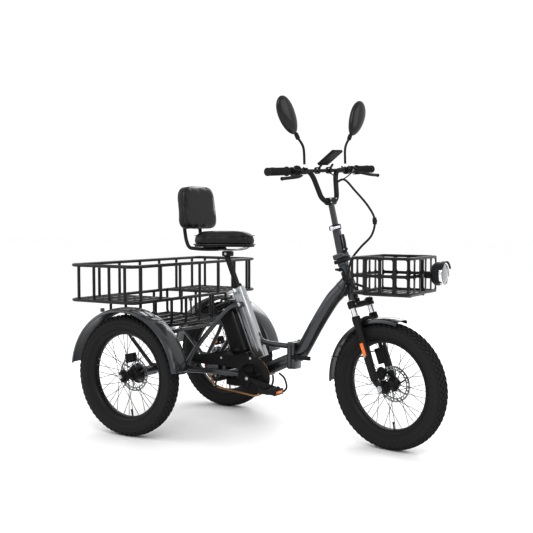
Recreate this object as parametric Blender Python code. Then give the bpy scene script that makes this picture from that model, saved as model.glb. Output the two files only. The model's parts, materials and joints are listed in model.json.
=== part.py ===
"""Folding electric tricycle for adults: rear frame, folding front frame, sprung fork, three wheels,
rear and front baskets, saddle with backrest, folding stem and controls.

Units are metres. +X is forward, +Y is the rider's left and +Z is up. The design frame has the rear axle
over X = 0 and the ground at Z = 0; the last step slides the whole assembly so that its footprint is centred.
"""

import math

import bmesh
import bpy
from mathutils import Matrix, Vector

# ---- driving dimensions -------------------------------------------------------------------------
GAP = 0.0003
WHEELBASE = 1.12
TRACK = 0.79
TYRE_R = 0.276
TYRE_W = 0.076
RIM_R = 0.2055
RIM_INNER_R = 0.188
RIM_W = 0.052
SPOKES = 16
WHEEL_STEPS = 28
HUB_R = 0.030
HUB_HALF = 0.030
ROTOR_R = 0.080
ROTOR_T = 0.002
ROTOR_OFFSET = 0.041
AXLE_R = 0.0095
AXLE_CLEAR = 0.0005

HEAD_LEAN = math.radians(19.0)
HEAD_MID = Vector((0.922, 0.0, 0.713))
HEAD_LENGTH = 0.175
HEAD_R = 0.022
STEERER_R = 0.0145
BORE_CLEAR = 0.0005
STEER_REST = math.radians(-9.8)

LEG_Y = 0.064
LEG_OFFSET = 0.029
LEG_R = 0.0175
STANCHION_R = 0.0135
LEG_TOP_S = -0.162
LEG_BOTTOM_S = -0.440
CROWN_TOP_S = -0.094
CROWN_T = 0.024
STANCHION_BOTTOM_S = -0.290
FORK_TRAVEL = 0.035

SEAT_LEAN = math.radians(23.0)
SEAT_TOP = Vector((0.340, 0.0, 0.665))
SEAT_TUBE_L = 0.345
SEAT_TUBE_D = 0.058
SEAT_TUBE_W = 0.044
SEAT_TUBE_BACK = SEAT_TUBE_D / 2
BATTERY_GAP = 0.016
BATTERY_S = -0.180
BATTERY_SIZE = (0.094, 0.080, 0.285)
POST_R = 0.0135
POST_OUT = 0.172
POST_IN = 0.130
POST_DOWN = 0.090

BB = Vector((0.462, 0.0, 0.262))
BB_SHELL_R = 0.024
BB_HALF = 0.034
SPINDLE_R = 0.0085
CRANK_L = 0.165
CRANK_ANGLE = math.radians(-12.0)
CRANK_Y = 0.107
CRANK_T = 0.014
CHAIN_Y = 0.062
CHAINRING_R = 0.082
SPROCKET = Vector((0.235, -CHAIN_Y, 0.285))
SPROCKET_R = 0.034
MOTOR_R = 0.070
MOTOR_HALF = 0.040
MOTOR_CROSS = (0.3155, 0.270)
CONTROLLER = (0.345, 0.0, 0.222)
CONTROLLER_SIZE = (0.110, 0.060, 0.034)
GUARD_HALF = 0.002
CHAIN_W = 0.008
CHAIN_T = 0.010
PEDAL_Y = 0.163
PEDAL_SIZE = (0.085, 0.080, 0.026)

HINGE_X = 0.6465
HINGE_Y = 0.044
HINGE_BOTTOM = 0.308
HINGE_TOP = 0.432
HINGE_W = 0.066
PLATE_T = 0.019
PIN_R = 0.005
KNUCKLE_R = 0.0105

STEM_LEAN = math.radians(12.5)
STEM_FOOT = Vector((0.8925, 0.0, 0.803))
STEM_R = 0.0185
STEM_L = 0.160
BAR_POST_R = 0.0135
BAR_POST_OUT = 0.098
BAR_POST_IN = 0.085
BAR_DOWN = 0.050
BAR_X = 0.797
BAR_Z = 1.203
BAR_R = 0.011
BAR_HALF = 0.372
GRIP_R = 0.017
GRIP_L = 0.130

RACK_X = (0.104, -0.172)
RACK_Y = 0.222
RACK_Z = 0.4655
RACK_R = 0.0105
RACK_PAD = 0.0124
BASKET_X = (-0.2645, 0.1236)
BASKET_Y = 0.4985
BASKET_Z = (0.610, 0.785)
WELL_Y = 0.228
WELL_Z = 0.487
BASKET_BAR = 0.014
BASKET_WALL = 0.010
FRONT_BASKET_X = (1.005, 1.272)
FRONT_BASKET_Y = 0.155
FRONT_BASKET_Z = (0.675, 0.832)
FRONT_BAR = 0.016
FRONT_WALL = 0.005
CARRIER_R = 0.005
CARRIER_Y = 0.070
LAMP_X = 1.305
LAMP_Z = 0.763
LAMP_R = 0.050
LAMP_L = 0.060
CABLE_R = 0.0045

FENDER_R = 0.312
FENDER_HALF = 0.054
FENDER_DROP = 0.016
FRONT_FENDER_R = 0.297
FRONT_FENDER_HALF = 0.043
FENDER_T = 0.003
STAY_ANGLE = 158.0

HEAD_AXIS = Vector((-math.sin(HEAD_LEAN), 0.0, math.cos(HEAD_LEAN)))
HEAD_FRONT = Vector((math.cos(HEAD_LEAN), 0.0, math.sin(HEAD_LEAN)))
SEAT_AXIS = Vector((-math.sin(SEAT_LEAN), 0.0, math.cos(SEAT_LEAN)))
STEM_AXIS = Vector((-math.sin(STEM_LEAN), 0.0, math.cos(STEM_LEAN)))
SIDE = Vector((0.0, 1.0, 0.0))
UP = Vector((0.0, 0.0, 1.0))
REAR_AXLE = Vector((0.0, 0.0, TYRE_R))
FRONT_AXLE = Vector((WHEELBASE, 0.0, TYRE_R))

# ---- finishes -----------------------------------------------------------------------------------
FINISHES = {
    "graphite_paint": ((0.055, 0.058, 0.064), 0.28, 0.75),
    "silver_paint": ((0.42, 0.43, 0.45), 0.30, 0.75),
    "black_paint": ((0.012, 0.012, 0.013), 0.42, 0.20),
    "black_plastic": ((0.015, 0.015, 0.016), 0.48, 0.0),
    "vinyl": ((0.014, 0.014, 0.015), 0.42, 0.0),
    "tyre_rubber": ((0.018, 0.018, 0.018), 0.75, 0.0),
    "grip_rubber": ((0.016, 0.016, 0.016), 0.70, 0.0),
    "chrome": ((0.80, 0.81, 0.83), 0.10, 1.0),
    "steel": ((0.55, 0.56, 0.58), 0.32, 1.0),
    "copper_chain": ((0.45, 0.27, 0.14), 0.35, 0.9),
    "lamp_glass": ((0.75, 0.78, 0.80), 0.05, 0.0),
}


def finish(name):
    """The material of that name, made at its first use."""
    material = bpy.data.materials.get(name)
    if material is None:
        colour, roughness, metallic = FINISHES[name]
        material = bpy.data.materials.new(name)
        material.use_nodes = True
        shader = material.node_tree.nodes["Principled BSDF"]
        shader.inputs["Base Color"].default_value = (*colour, 1.0)
        shader.inputs["Roughness"].default_value = roughness
        shader.inputs["Metallic"].default_value = metallic
    return material


# ---- bodies and solids --------------------------------------------------------------------------
class Body:
    """A rigid group: an empty on the joint's axis, with the design position of that point."""

    def __init__(self, name, pivot=(0.0, 0.0, 0.0), parent=None):
        self.pivot = Vector(pivot)
        self.empty = bpy.data.objects.new(name, None)
        self.empty.empty_display_size = 0.05
        bpy.context.scene.collection.objects.link(self.empty)
        if parent is not None:
            self.empty.parent = parent.empty
            self.empty.location = self.pivot - parent.pivot
        else:
            self.empty.location = self.pivot


def solid(name, body, shape, material):
    """One named object on a body, from a bmesh in design coordinates."""
    bmesh.ops.recalc_face_normals(shape, faces=shape.faces)
    if shape.calc_volume(signed=True) < 0:
        bmesh.ops.reverse_faces(shape, faces=shape.faces)
    bmesh.ops.translate(shape, vec=-body.pivot, verts=shape.verts)
    mesh = bpy.data.meshes.new(name)
    shape.to_mesh(mesh)
    shape.free()
    mesh.materials.append(finish(material))
    mesh.shade_smooth()
    mesh.set_sharp_from_angle(angle=math.radians(35.0))
    thing = bpy.data.objects.new(name, mesh)
    thing.parent = body.empty
    bpy.context.scene.collection.objects.link(thing)
    return thing


def boolean(thing, body, operation, shapes):
    """Adds each shape to the object, or cuts it away, through a hidden helper object."""
    for number, shape in enumerate(shapes, 1):
        label = f"{thing.name}_{operation.lower()}_{number}"
        helper = solid(label, body, shape, "steel")
        helper.hide_render = True
        helper.display_type = "WIRE"
        modifier = thing.modifiers.new(label, "BOOLEAN")
        modifier.operation = operation
        modifier.object = helper
    return thing


# ---- shapes -------------------------------------------------------------------------------------
def frame_matrix(origin, along, across=SIDE):
    """Local Z along the given direction, local Y as near as it can be to the second one."""
    z = Vector(along).normalized()
    x = Vector(across).cross(z)
    x = x.normalized() if x.length > 1e-6 else Vector((1.0, 0.0, 0.0))
    y = z.cross(x)
    return Matrix((
        (x.x, y.x, z.x, origin[0]),
        (x.y, y.y, z.y, origin[1]),
        (x.z, y.z, z.z, origin[2]),
        (0.0, 0.0, 0.0, 1.0),
    ))


def block(centre, size, along=UP, bevel=0.0):
    """A box with its local Z along the given direction and its local Y across the vehicle."""
    shape = bmesh.new()
    bmesh.ops.create_cube(shape, size=1.0)
    bmesh.ops.scale(shape, vec=size, verts=shape.verts)
    if bevel:
        bmesh.ops.bevel(shape, geom=shape.edges[:], offset=bevel, segments=1, profile=0.5,
                        affect="EDGES", material=-1)
    bmesh.ops.transform(shape, matrix=frame_matrix(centre, along), verts=shape.verts)
    return shape


def rod(start, end, radius, sides=10, end_radius=None):
    """A round bar between two points."""
    start, end = Vector(start), Vector(end)
    shape = bmesh.new()
    bmesh.ops.create_cone(shape, cap_ends=True, segments=sides, radius1=radius,
                          radius2=radius if end_radius is None else end_radius,
                          depth=(end - start).length)
    bmesh.ops.transform(shape, matrix=frame_matrix((start + end) / 2, end - start), verts=shape.verts)
    return shape


def smooth_route(points, steps=5):
    """Points along a Catmull-Rom curve through the given ones."""
    points = [Vector(p) for p in points]
    padded = [2 * points[0] - points[1]] + points + [2 * points[-1] - points[-2]]
    route = []
    for before, start, end, after in zip(padded, padded[1:], padded[2:], padded[3:]):
        for step in range(steps):
            t = step / steps
            route.append(0.5 * (2 * start + (end - before) * t
                                + (2 * before - 5 * start + 4 * end - after) * t * t
                                + (3 * start - before - 3 * end + after) * t ** 3))
    return route + [points[-1]]


def tube(points, radius, roundness=2, steps=4):
    """A round bar along a smooth route: a bevelled curve with filled caps, as a bmesh."""
    curve = bpy.data.curves.new("route", "CURVE")
    curve.dimensions = "3D"
    curve.bevel_depth = radius
    curve.bevel_resolution = roundness
    curve.use_fill_caps = True
    route = smooth_route(points, steps) if steps > 1 else [Vector(p) for p in points]
    spline = curve.splines.new("POLY")
    spline.points.add(len(route) - 1)
    for place, point in zip(spline.points, route):
        place.co = (*point, 1.0)
    holder = bpy.data.objects.new("route", curve)
    mesh = bpy.data.meshes.new_from_object(holder)
    shape = bmesh.new()
    shape.from_mesh(mesh)
    bmesh.ops.remove_doubles(shape, verts=shape.verts, dist=1e-6)
    bpy.data.objects.remove(holder)
    bpy.data.curves.remove(curve)
    bpy.data.meshes.remove(mesh)
    return shape


def turned(profile, sides, origin, along, ring=False):
    """A profile of (distance, radius) points turned about an axis; a ring closes on itself."""
    shape = bmesh.new()
    first = [shape.verts.new((radius, 0.0, distance)) for distance, radius in profile]
    pairs = zip(first, first[1:] + first[:1]) if ring else zip(first, first[1:])
    edges = [shape.edges.new(pair) for pair in pairs]
    bmesh.ops.spin(shape, geom=first + edges, cent=(0.0, 0.0, 0.0), axis=(0.0, 0.0, 1.0),
                   angle=math.tau, steps=sides, use_merge=True)
    bmesh.ops.remove_doubles(shape, verts=shape.verts, dist=1e-6)
    if not ring:
        bmesh.ops.holes_fill(shape, edges=[e for e in shape.edges if e.is_boundary], sides=0)
    bmesh.ops.transform(shape, matrix=frame_matrix(origin, along), verts=shape.verts)
    return shape


def outline(points, centre, thickness, along=SIDE):
    """A flat outline of (X, Z) points, extruded equally both ways across the vehicle."""
    shape = bmesh.new()
    low = centre - thickness / 2
    loop = [shape.verts.new((x, low, z)) for x, z in points]
    face = shape.faces.new(loop)
    made = bmesh.ops.extrude_face_region(shape, geom=[face])
    lifted = [item for item in made["geom"] if isinstance(item, bmesh.types.BMVert)]
    bmesh.ops.translate(shape, vec=Vector(along) * thickness, verts=lifted)
    return shape


def arc(centre, radius, start, end, steps):
    """(X, Z) points on an arc, angles in degrees from +X towards +Z."""
    return [(centre[0] + radius * math.cos(math.radians(start + (end - start) * step / steps)),
             centre[1] + radius * math.sin(math.radians(start + (end - start) * step / steps)))
            for step in range(steps + 1)]


def lattice(panels, wall):
    """An open basket: flat grids of bars, joined at their edges and given a wall thickness.

    A panel is a start corner, two edge vectors, the cut positions along each, and the set of
    (column, row) cells that are windows.
    """
    shape = bmesh.new()
    for corner, across, upward, columns, rows, windows in panels:
        corner, across, upward = Vector(corner), Vector(across), Vector(upward)
        grid = [[shape.verts.new(corner + across * c + upward * r) for r in rows] for c in columns]
        for c in range(len(columns) - 1):
            for r in range(len(rows) - 1):
                if (c, r) not in windows:
                    shape.faces.new((grid[c][r], grid[c + 1][r], grid[c + 1][r + 1], grid[c][r + 1]))
    bmesh.ops.remove_doubles(shape, verts=shape.verts, dist=1e-5)
    bmesh.ops.delete(shape, geom=[v for v in shape.verts if not v.link_faces], context="VERTS")
    bmesh.ops.recalc_face_normals(shape, faces=shape.faces)
    bmesh.ops.solidify(shape, geom=shape.faces[:], thickness=wall)
    return shape


def bar_cuts(length, count, bar, edge=None):
    """Cut positions, as shares of a length, that leave `count` equal windows between bars."""
    edge = bar if edge is None else edge
    window = (length - 2 * edge - (count - 1) * bar) / count
    cuts = [0.0]
    place = edge
    for _ in range(count):
        cuts += [place / length, (place + window) / length]
        place += window + bar
    return cuts + [1.0]


def grid_windows(columns, rows):
    """Every odd cell of a grid made by bar_cuts."""
    return {(c, r) for c in range(1, len(columns) - 1, 2) for r in range(1, len(rows) - 1, 2)}


def head_point(s, forward=0.0, side=0.0):
    """A point by its distance along the steering axis and its offset in front of it."""
    return HEAD_MID + HEAD_AXIS * s + HEAD_FRONT * forward + SIDE * side


def stem_point(s, forward=0.0, side=0.0):
    """A point by its distance along the stem from its foot."""
    ahead = SIDE.cross(STEM_AXIS)
    return STEM_FOOT + STEM_AXIS * s + ahead * forward + SIDE * side


def seat_point(s, forward=0.0, side=0.0):
    """A point by its distance along the seat tube above its top end."""
    ahead = SIDE.cross(SEAT_AXIS)
    return SEAT_TOP + SEAT_AXIS * s + ahead * forward + SIDE * side


# ---- wheels -------------------------------------------------------------------------------------
def tyre_shape(centre):
    half = TYRE_W / 2
    wall = RIM_R + 0.55 * (TYRE_R - RIM_R)
    shoulder = TYRE_R - 0.006
    profile = [(-RIM_W * 0.46, RIM_R + GAP), (-half, wall), (-half * 0.60, shoulder), (0.0, TYRE_R),
               (half * 0.60, shoulder), (half, wall), (RIM_W * 0.46, RIM_R + GAP)]
    return turned(profile, WHEEL_STEPS, centre, SIDE, ring=True)


def rim_shape(centre):
    half = RIM_W / 2
    lip = (RIM_INNER_R + RIM_R) / 2
    profile = [(-half * 0.45, RIM_INNER_R), (-half, lip), (-half, RIM_R), (half, RIM_R),
               (half, lip), (half * 0.45, RIM_INNER_R)]
    return turned(profile, WHEEL_STEPS, centre, SIDE, ring=True)


def hub_shape(centre, inboard, bore, shaft_end):
    """Hub shell with its spokes and brake rotor; inboard is +1 or -1 along Y for the rotor's side."""
    rotor_in = ROTOR_OFFSET + ROTOR_T
    profile = [(-0.050, 0.016), (-0.034, 0.016), (-HUB_HALF, HUB_R), (0.0, HUB_R), (HUB_HALF, HUB_R),
               (HUB_HALF, 0.020), (ROTOR_OFFSET, 0.020), (ROTOR_OFFSET, ROTOR_R), (rotor_in, ROTOR_R),
               (rotor_in, 0.016)]
    if bore:
        profile += [(0.048, 0.016), (0.048, bore), (-0.050, bore)]
    else:
        profile += [(0.046, AXLE_R), (shaft_end, AXLE_R)]
    shape = turned(profile, SPOKES, (0.0, 0.0, 0.0), UP, ring=bool(bore))
    drum = [face for face in shape.faces
            if all(abs(v.co.xy.length - HUB_R) < 1e-5 and abs(v.co.z) < HUB_HALF + 1e-5 for v in face.verts)]
    drum.sort(key=lambda face: math.atan2(face.calc_center_median().y, face.calc_center_median().x))
    lower = [face for face in drum if face.calc_center_median().z < 0]
    upper = [face for face in drum if face.calc_center_median().z > 0]
    chosen = lower[0::2] + upper[1::2]
    for face in chosen:
        root = face.calc_center_median()
        root_z = root.z
        out = Vector((root.x, root.y, 0.0)).normalized()
        spin = out.cross(UP)
        bmesh.ops.inset_individual(shape, faces=[face], thickness=0.0022, use_even_offset=True)
        grown = bmesh.ops.extrude_discrete_faces(shape, faces=[face])["faces"][0]
        tip = out * (RIM_INNER_R * math.cos(math.pi / WHEEL_STEPS) - 2 * GAP) + UP * (root_z * 0.25)
        for vert in grown.verts:
            sign_u = 1.0 if (vert.co - root).dot(spin) > 0 else -1.0
            sign_z = 1.0 if vert.co.z > root_z else -1.0
            vert.co = tip + spin * (0.0016 * sign_u) + UP * (0.0016 * sign_z)
    bmesh.ops.transform(shape, matrix=frame_matrix(centre, SIDE * inboard), verts=shape.verts)
    return shape


def wheel(prefix, suffix, body, centre, inboard, bore=0.0, shaft_end=0.0):
    """Tyre, rim and laced hub of one wheel."""
    solid(f"{prefix}_tyre{suffix}", body, tyre_shape(centre), "tyre_rubber")
    solid(f"{prefix}_rim{suffix}", body, rim_shape(centre), "black_paint")
    solid(f"{prefix}_hub{suffix}", body, hub_shape(centre, inboard, bore, shaft_end), "black_paint")


def fender_shape(centre, radius, half, start, end, steps):
    """A trough of sheet, crowned across, around part of a wheel."""
    shape = bmesh.new()
    section = [(-1.0, -FENDER_DROP), (-0.72, -0.003), (0.0, 0.0), (0.72, -0.003), (1.0, -FENDER_DROP)]
    rings = []
    for step in range(steps + 1):
        angle = math.radians(start + (end - start) * step / steps)
        direction = Vector((math.cos(angle), 0.0, math.sin(angle)))
        rings.append([shape.verts.new(Vector(centre) + SIDE * (half * a) + direction * (radius + b))
                      for a, b in section])
    for ring, following in zip(rings, rings[1:]):
        for number in range(len(section) - 1):
            shape.faces.new((ring[number], ring[number + 1], following[number + 1], following[number]))
    bmesh.ops.recalc_face_normals(shape, faces=shape.faces)
    bmesh.ops.solidify(shape, geom=shape.faces[:], thickness=FENDER_T)
    return shape


def caliper_shape(centre, inboard, angle, clamp_y, slot_y):
    """A brake caliper whose slot straddles the rotor; clamp_y is its span along Y."""
    out = Vector((math.cos(angle), 0.0, math.sin(angle)))
    middle = Vector(centre) + out * 0.075 + SIDE * (clamp_y[0] + clamp_y[1]) / 2
    width = abs(clamp_y[1] - clamp_y[0])
    body = block(middle, (0.060, width, 0.046), along=out, bevel=0.004)
    slot_mid = Vector(centre) + out * 0.060 + SIDE * slot_y
    slot = block(slot_mid, (0.080, ROTOR_T + 0.003, 0.056), along=out)
    return body, slot


# ---- rear frame ---------------------------------------------------------------------------------
HOUSING_END = TRACK / 2 - ROTOR_OFFSET - 0.026
HOUSING_R = 0.022


def rack_parts():
    """The rack's cross bars, the pads that carry the basket, and the stays of the rear fenders."""
    parts = []
    for x in RACK_X:
        parts.append(rod((x, -RACK_Y, RACK_Z), (x, RACK_Y, RACK_Z), RACK_R, 6))
        rise = math.sqrt((FENDER_R - FENDER_DROP) ** 2 - x ** 2)
        fender_y = TRACK / 2 - FENDER_HALF
        for side in (-1, 1):
            parts.append(block((x, side * (RACK_Y - 0.006), WELL_Z - GAP - RACK_PAD / 2),
                               (0.016, 0.012, RACK_PAD)))
            parts.append(rod((x, side * (RACK_Y - 0.008), RACK_Z),
                             (x, side * (fender_y - 0.001), TYRE_R + rise - 0.004), 0.005, 8))
    return parts


def drive_brackets():
    """The battery's spacers, the motor's mount, and the tabs for controller, guard and derailleur."""
    spacer = SEAT_TUBE_BACK + BATTERY_GAP / 2
    parts = [block(seat_point(s, forward=-spacer + 0.001), (BATTERY_GAP + 0.0014, 0.018, 0.020),
                   along=SEAT_AXIS)
             for s in (-0.10, -0.20, -0.30)]
    cross_x, cross_z = MOTOR_CROSS
    box_top = CONTROLLER[2] + CONTROLLER_SIZE[2] / 2 + GAP
    parts += [
        rod((SPROCKET.x, MOTOR_HALF + GAP, SPROCKET.z), (SPROCKET.x, 0.098, SPROCKET.z), 0.014, 12),
        rod((cross_x, -0.072, cross_z), (cross_x, 0.072, cross_z), 0.010, 10),
        block((cross_x, 0.0, (cross_z + box_top) / 2), (0.018, 0.050, cross_z - box_top)),
        rod((0.142, -0.124, 0.315), (0.142, -CHAIN_Y - 0.018 - 2 * GUARD_HALF - GAP, 0.315), 0.005, 8),
        block((0.312, -CHAIN_Y - 0.020 + GUARD_HALF + 0.0025 + GAP, 0.293), (0.020, 0.005, 0.040)),
        block((0.268, -CHAIN_Y - 0.0195, 0.2575), (0.018, 0.004, 0.030)),
    ]
    return parts


def rear_frame(root):
    """The welded rear frame: seat tube, lower tube, stays, axle beam, rack and the rear hinge plate."""
    main = block(seat_point(-SEAT_TUBE_L / 2), (SEAT_TUBE_D, SEAT_TUBE_W, SEAT_TUBE_L),
                 along=SEAT_AXIS, bevel=0.006)
    frame = solid("rear_frame", root, main, "graphite_paint")
    plate_x = HINGE_X - PLATE_T / 2
    lower_start = BB + Vector((-0.01, 0.0, 0.002))
    lower_end = Vector((plate_x, 0.0, 0.348))
    direction = lower_end - lower_start
    parts = [
        block((lower_start + lower_end) / 2, (0.052, 0.046, direction.length), along=direction,
              bevel=0.005),
        block((plate_x, 0.0, (HINGE_BOTTOM + HINGE_TOP) / 2), (PLATE_T, HINGE_W, HINGE_TOP - HINGE_BOTTOM),
              bevel=0.003),
        rod(BB - SIDE * BB_HALF, BB + SIDE * BB_HALF, BB_SHELL_R, 16),
        tube([seat_point(-0.235), (0.470, 0.0, 0.426), (0.520, 0.0, 0.413), (plate_x, 0.0, 0.409)], 0.0125,
             2, 3),
        rod(seat_point(-0.082, side=-0.046), seat_point(-0.082, side=0.046), 0.013, 12),
        rod((0.0, -HOUSING_END, TYRE_R), (0.0, HOUSING_END, TYRE_R), HOUSING_R, 16),
        rod(seat_point(-0.022), seat_point(-0.001), 0.0325, 16),
    ]
    for side in (-1, 1):
        parts += [
            tube([(0.446, side * 0.026, 0.262), (0.385, side * 0.0425, 0.266), (0.300, side * 0.080, 0.272),
                  (0.232, side * 0.101, 0.276), (0.0, side * 0.150, TYRE_R)], 0.0135, 2, 2),
            tube([seat_point(-0.082, side=side * 0.040), (0.318, side * 0.066, 0.560),
                  (0.205, side * 0.126, 0.405), (0.115, side * 0.128, 0.276)], 0.0105, 2, 3),
            rod((0.0, side * (HOUSING_END - 0.007), TYRE_R), (0.0, side * HOUSING_END, TYRE_R), 0.046, 16),
            rod((0.004, side * 0.205, TYRE_R), (0.104, side * 0.205, 0.470), 0.010, 6),
            rod((-0.004, side * 0.205, TYRE_R), (-0.172, side * 0.205, 0.470), 0.010, 6),
        ]
    parts += rack_parts() + drive_brackets()
    barrel = (HINGE_TOP - HINGE_BOTTOM) / 3
    for low in (HINGE_BOTTOM, HINGE_TOP - barrel):
        parts.append(rod((HINGE_X, HINGE_Y, low), (HINGE_X, HINGE_Y, low + barrel - 0.001), KNUCKLE_R, 12))
        parts.append(block((HINGE_X - 0.0085, HINGE_Y - 0.011, low + barrel / 2 - 0.0005),
                           (0.016, 0.018, barrel - 0.001)))
    boolean(frame, root, "UNION", parts)
    cuts = [
        rod(seat_point(-POST_IN - POST_DOWN - 0.004), seat_point(0.01), POST_R + BORE_CLEAR, 16),
        rod(BB - SIDE * 0.05, BB + SIDE * 0.05, SPINDLE_R + BORE_CLEAR, 14),
        rod((HINGE_X, HINGE_Y, HINGE_BOTTOM - 0.01), (HINGE_X, HINGE_Y, HINGE_TOP + 0.01), PIN_R + GAP, 12),
    ]
    for side in (-1, 1):
        cuts.append(rod((0.0, side * (HOUSING_END - 0.105), TYRE_R),
                        (0.0, side * (HOUSING_END + 0.01), TYRE_R),
                        AXLE_R + AXLE_CLEAR, 14))
    middle = barrel + 0.001
    cuts.append(rod((HINGE_X, HINGE_Y, HINGE_BOTTOM + barrel - 0.001),
                    (HINGE_X, HINGE_Y, HINGE_BOTTOM + barrel + middle),
                    KNUCKLE_R + 0.0015, 12))
    boolean(frame, root, "DIFFERENCE", cuts)


def drive_and_brakes(root):
    """Drive motor, differential case, calipers, controller, battery, guard, chain and fold stand."""
    half = MOTOR_HALF
    motor_profile = [(-half, 0.030), (-0.036, 0.060), (-0.028, MOTOR_R), (0.028, MOTOR_R), (0.036, 0.060),
                     (half, 0.030)]
    motor = turned(motor_profile, 24, (SPROCKET.x, 0.0, SPROCKET.z), SIDE)
    solid("drive_motor", root, motor, "black_paint")
    case_profile = [(-0.075, 0.030), (-0.060, 0.052), (0.060, 0.052), (0.075, 0.030)]
    case = turned([(d, r) for d, r in case_profile] + [(0.075, HOUSING_R + GAP), (-0.075, HOUSING_R + GAP)],
                  20, REAR_AXLE, SIDE, ring=True)
    solid("differential_case", root, case, "black_paint")
    for side, suffix in ((-1, "right"), (1, "left")):
        span = (side * (HOUSING_END + GAP), side * (TRACK / 2 - 0.027))
        slot_y = side * (TRACK / 2 - ROTOR_OFFSET - ROTOR_T / 2)
        body, slot = caliper_shape(REAR_AXLE, side, math.radians(104.0), span, slot_y)
        caliper = solid(f"rear_caliper_{suffix}", root, body, "black_paint")
        boolean(caliper, root, "DIFFERENCE", [slot])
        centre = REAR_AXLE + SIDE * (side * TRACK / 2)
        solid(f"rear_fender_{suffix}", root,
              fender_shape(centre, FENDER_R, FENDER_HALF, 8.0, 172.0, 16), "graphite_paint")
    back = SEAT_TUBE_BACK + BATTERY_GAP + BATTERY_SIZE[0] / 2
    solid("battery_pack", root,
          block(seat_point(BATTERY_S, forward=-back), BATTERY_SIZE, along=SEAT_AXIS, bevel=0.010),
          "black_plastic")
    solid("controller_box", root, block(CONTROLLER, CONTROLLER_SIZE, bevel=0.004), "black_plastic")
    guard_r = CHAINRING_R + 0.020
    guard = outline([(0.085, 0.300), (0.085, 0.345), (BB.x - 0.02, BB.z + guard_r)]
                    + arc((BB.x, BB.z), guard_r, 90.0, -32.0, 8)
                    + arc((BB.x, BB.z), 0.064, -32.0, 150.0, 8)
                    + [(0.330, 0.300)], -(CHAIN_Y + 0.020), 2 * GUARD_HALF)
    solid("chain_guard", root, guard, "black_plastic")
    solid("chain", root, chain_shape(), "copper_chain")
    loop = [(0.540, -0.012, 0.268), (0.552, -0.030, 0.245), (0.545, -0.034, 0.205), (0.565, 0.0, 0.186),
            (0.585, 0.034, 0.205), (0.578, 0.030, 0.250), (0.560, 0.012, 0.277)]
    solid("fold_stand", root, tube(loop, 0.004, 1, 2), "black_paint")


def chain_shape():
    """A flat closed band around the chainring and the sprocket, its lower run over the cage wheels."""
    ring, small, guide = CHAINRING_R + CHAIN_T + 0.002, SPROCKET_R + CHAIN_T + 0.001, 0.016
    tension = (SPROCKET.x + 0.020, SPROCKET.z - 0.078)
    path = arc((BB.x, BB.z), ring, 97.0, -94.0, 12)
    path += arc(tension, guide, 275.0, 180.0, 3)
    path += arc((SPROCKET.x, SPROCKET.z), small, 250.0, 97.0, 7)
    count = len(path)
    shape = bmesh.new()
    rings = []
    for number, spot in enumerate(path):
        run = Vector(path[(number + 1) % count]) - Vector(path[number - 1])
        inward = Vector((run.y, -run.x)).normalized() * (CHAIN_T - 2 * GAP)
        corners = [(0.0, -1), (0.0, 1), (1.0, 1), (1.0, -1)]
        rings.append([shape.verts.new((spot[0] + inward.x * share, -CHAIN_Y + half * CHAIN_W / 2,
                                       spot[1] + inward.y * share)) for share, half in corners])
    for ring_now, ring_next in zip(rings, rings[1:] + rings[:1]):
        for corner in range(4):
            after = (corner + 1) % 4
            shape.faces.new((ring_now[corner], ring_now[after], ring_next[after], ring_next[corner]))
    return shape


def rear_basket(root):
    """Upper tray with side wings and a deep well between the wheels, one welded lattice."""
    x0, x1 = BASKET_X
    length, width = x1 - x0, 2 * BASKET_Y
    z0, z1 = BASKET_Z
    height, bar = z1 - z0, BASKET_BAR
    wing = BASKET_Y - WELL_Y
    tall = bar_cuts(height, 1, bar)
    wing_cuts = bar_cuts(wing, 2, bar)
    well_cuts = bar_cuts(2 * WELL_Y, 4, bar)
    along = [c * wing / width for c in wing_cuts]
    along += [(wing + c * 2 * WELL_Y) / width for c in well_cuts[1:]]
    along += [(wing + 2 * WELL_Y + c * wing) / width for c in wing_cuts[1:]]
    short = bar_cuts(length, 3, bar)
    windows_long = {(c, 1) for c in range(len(along) - 1) if abs(along[c + 1] - along[c]) * width > bar * 1.5}
    depth = z0 - WELL_Z
    deep = bar_cuts(depth, 1, bar)
    panels = []
    for x in (x0, x1):
        panels.append(((x, -BASKET_Y, z0), (0, width, 0), (0, 0, height), along, tall, windows_long))
        panels.append(((x, -WELL_Y, WELL_Z), (0, 2 * WELL_Y, 0), (0, 0, depth), well_cuts, deep,
                       grid_windows(well_cuts, deep)))
    for side in (-1, 1):
        panels.append(((x0, side * BASKET_Y, z0), (length, 0, 0), (0, 0, height), short, tall,
                       grid_windows(short, tall)))
        panels.append(((x0, side * WELL_Y, WELL_Z), (length, 0, 0), (0, 0, depth), short, deep,
                       grid_windows(short, deep)))
        start = -BASKET_Y if side < 0 else WELL_Y
        panels.append(((x0, start, z0), (length, 0, 0), (0, wing, 0), short, wing_cuts,
                       grid_windows(short, wing_cuts)))
    panels.append(((x0, -WELL_Y, WELL_Z), (length, 0, 0), (0, 2 * WELL_Y, 0), short, well_cuts,
                   grid_windows(short, well_cuts)))
    solid("rear_basket", root, lattice(panels, BASKET_WALL), "black_paint")


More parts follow.
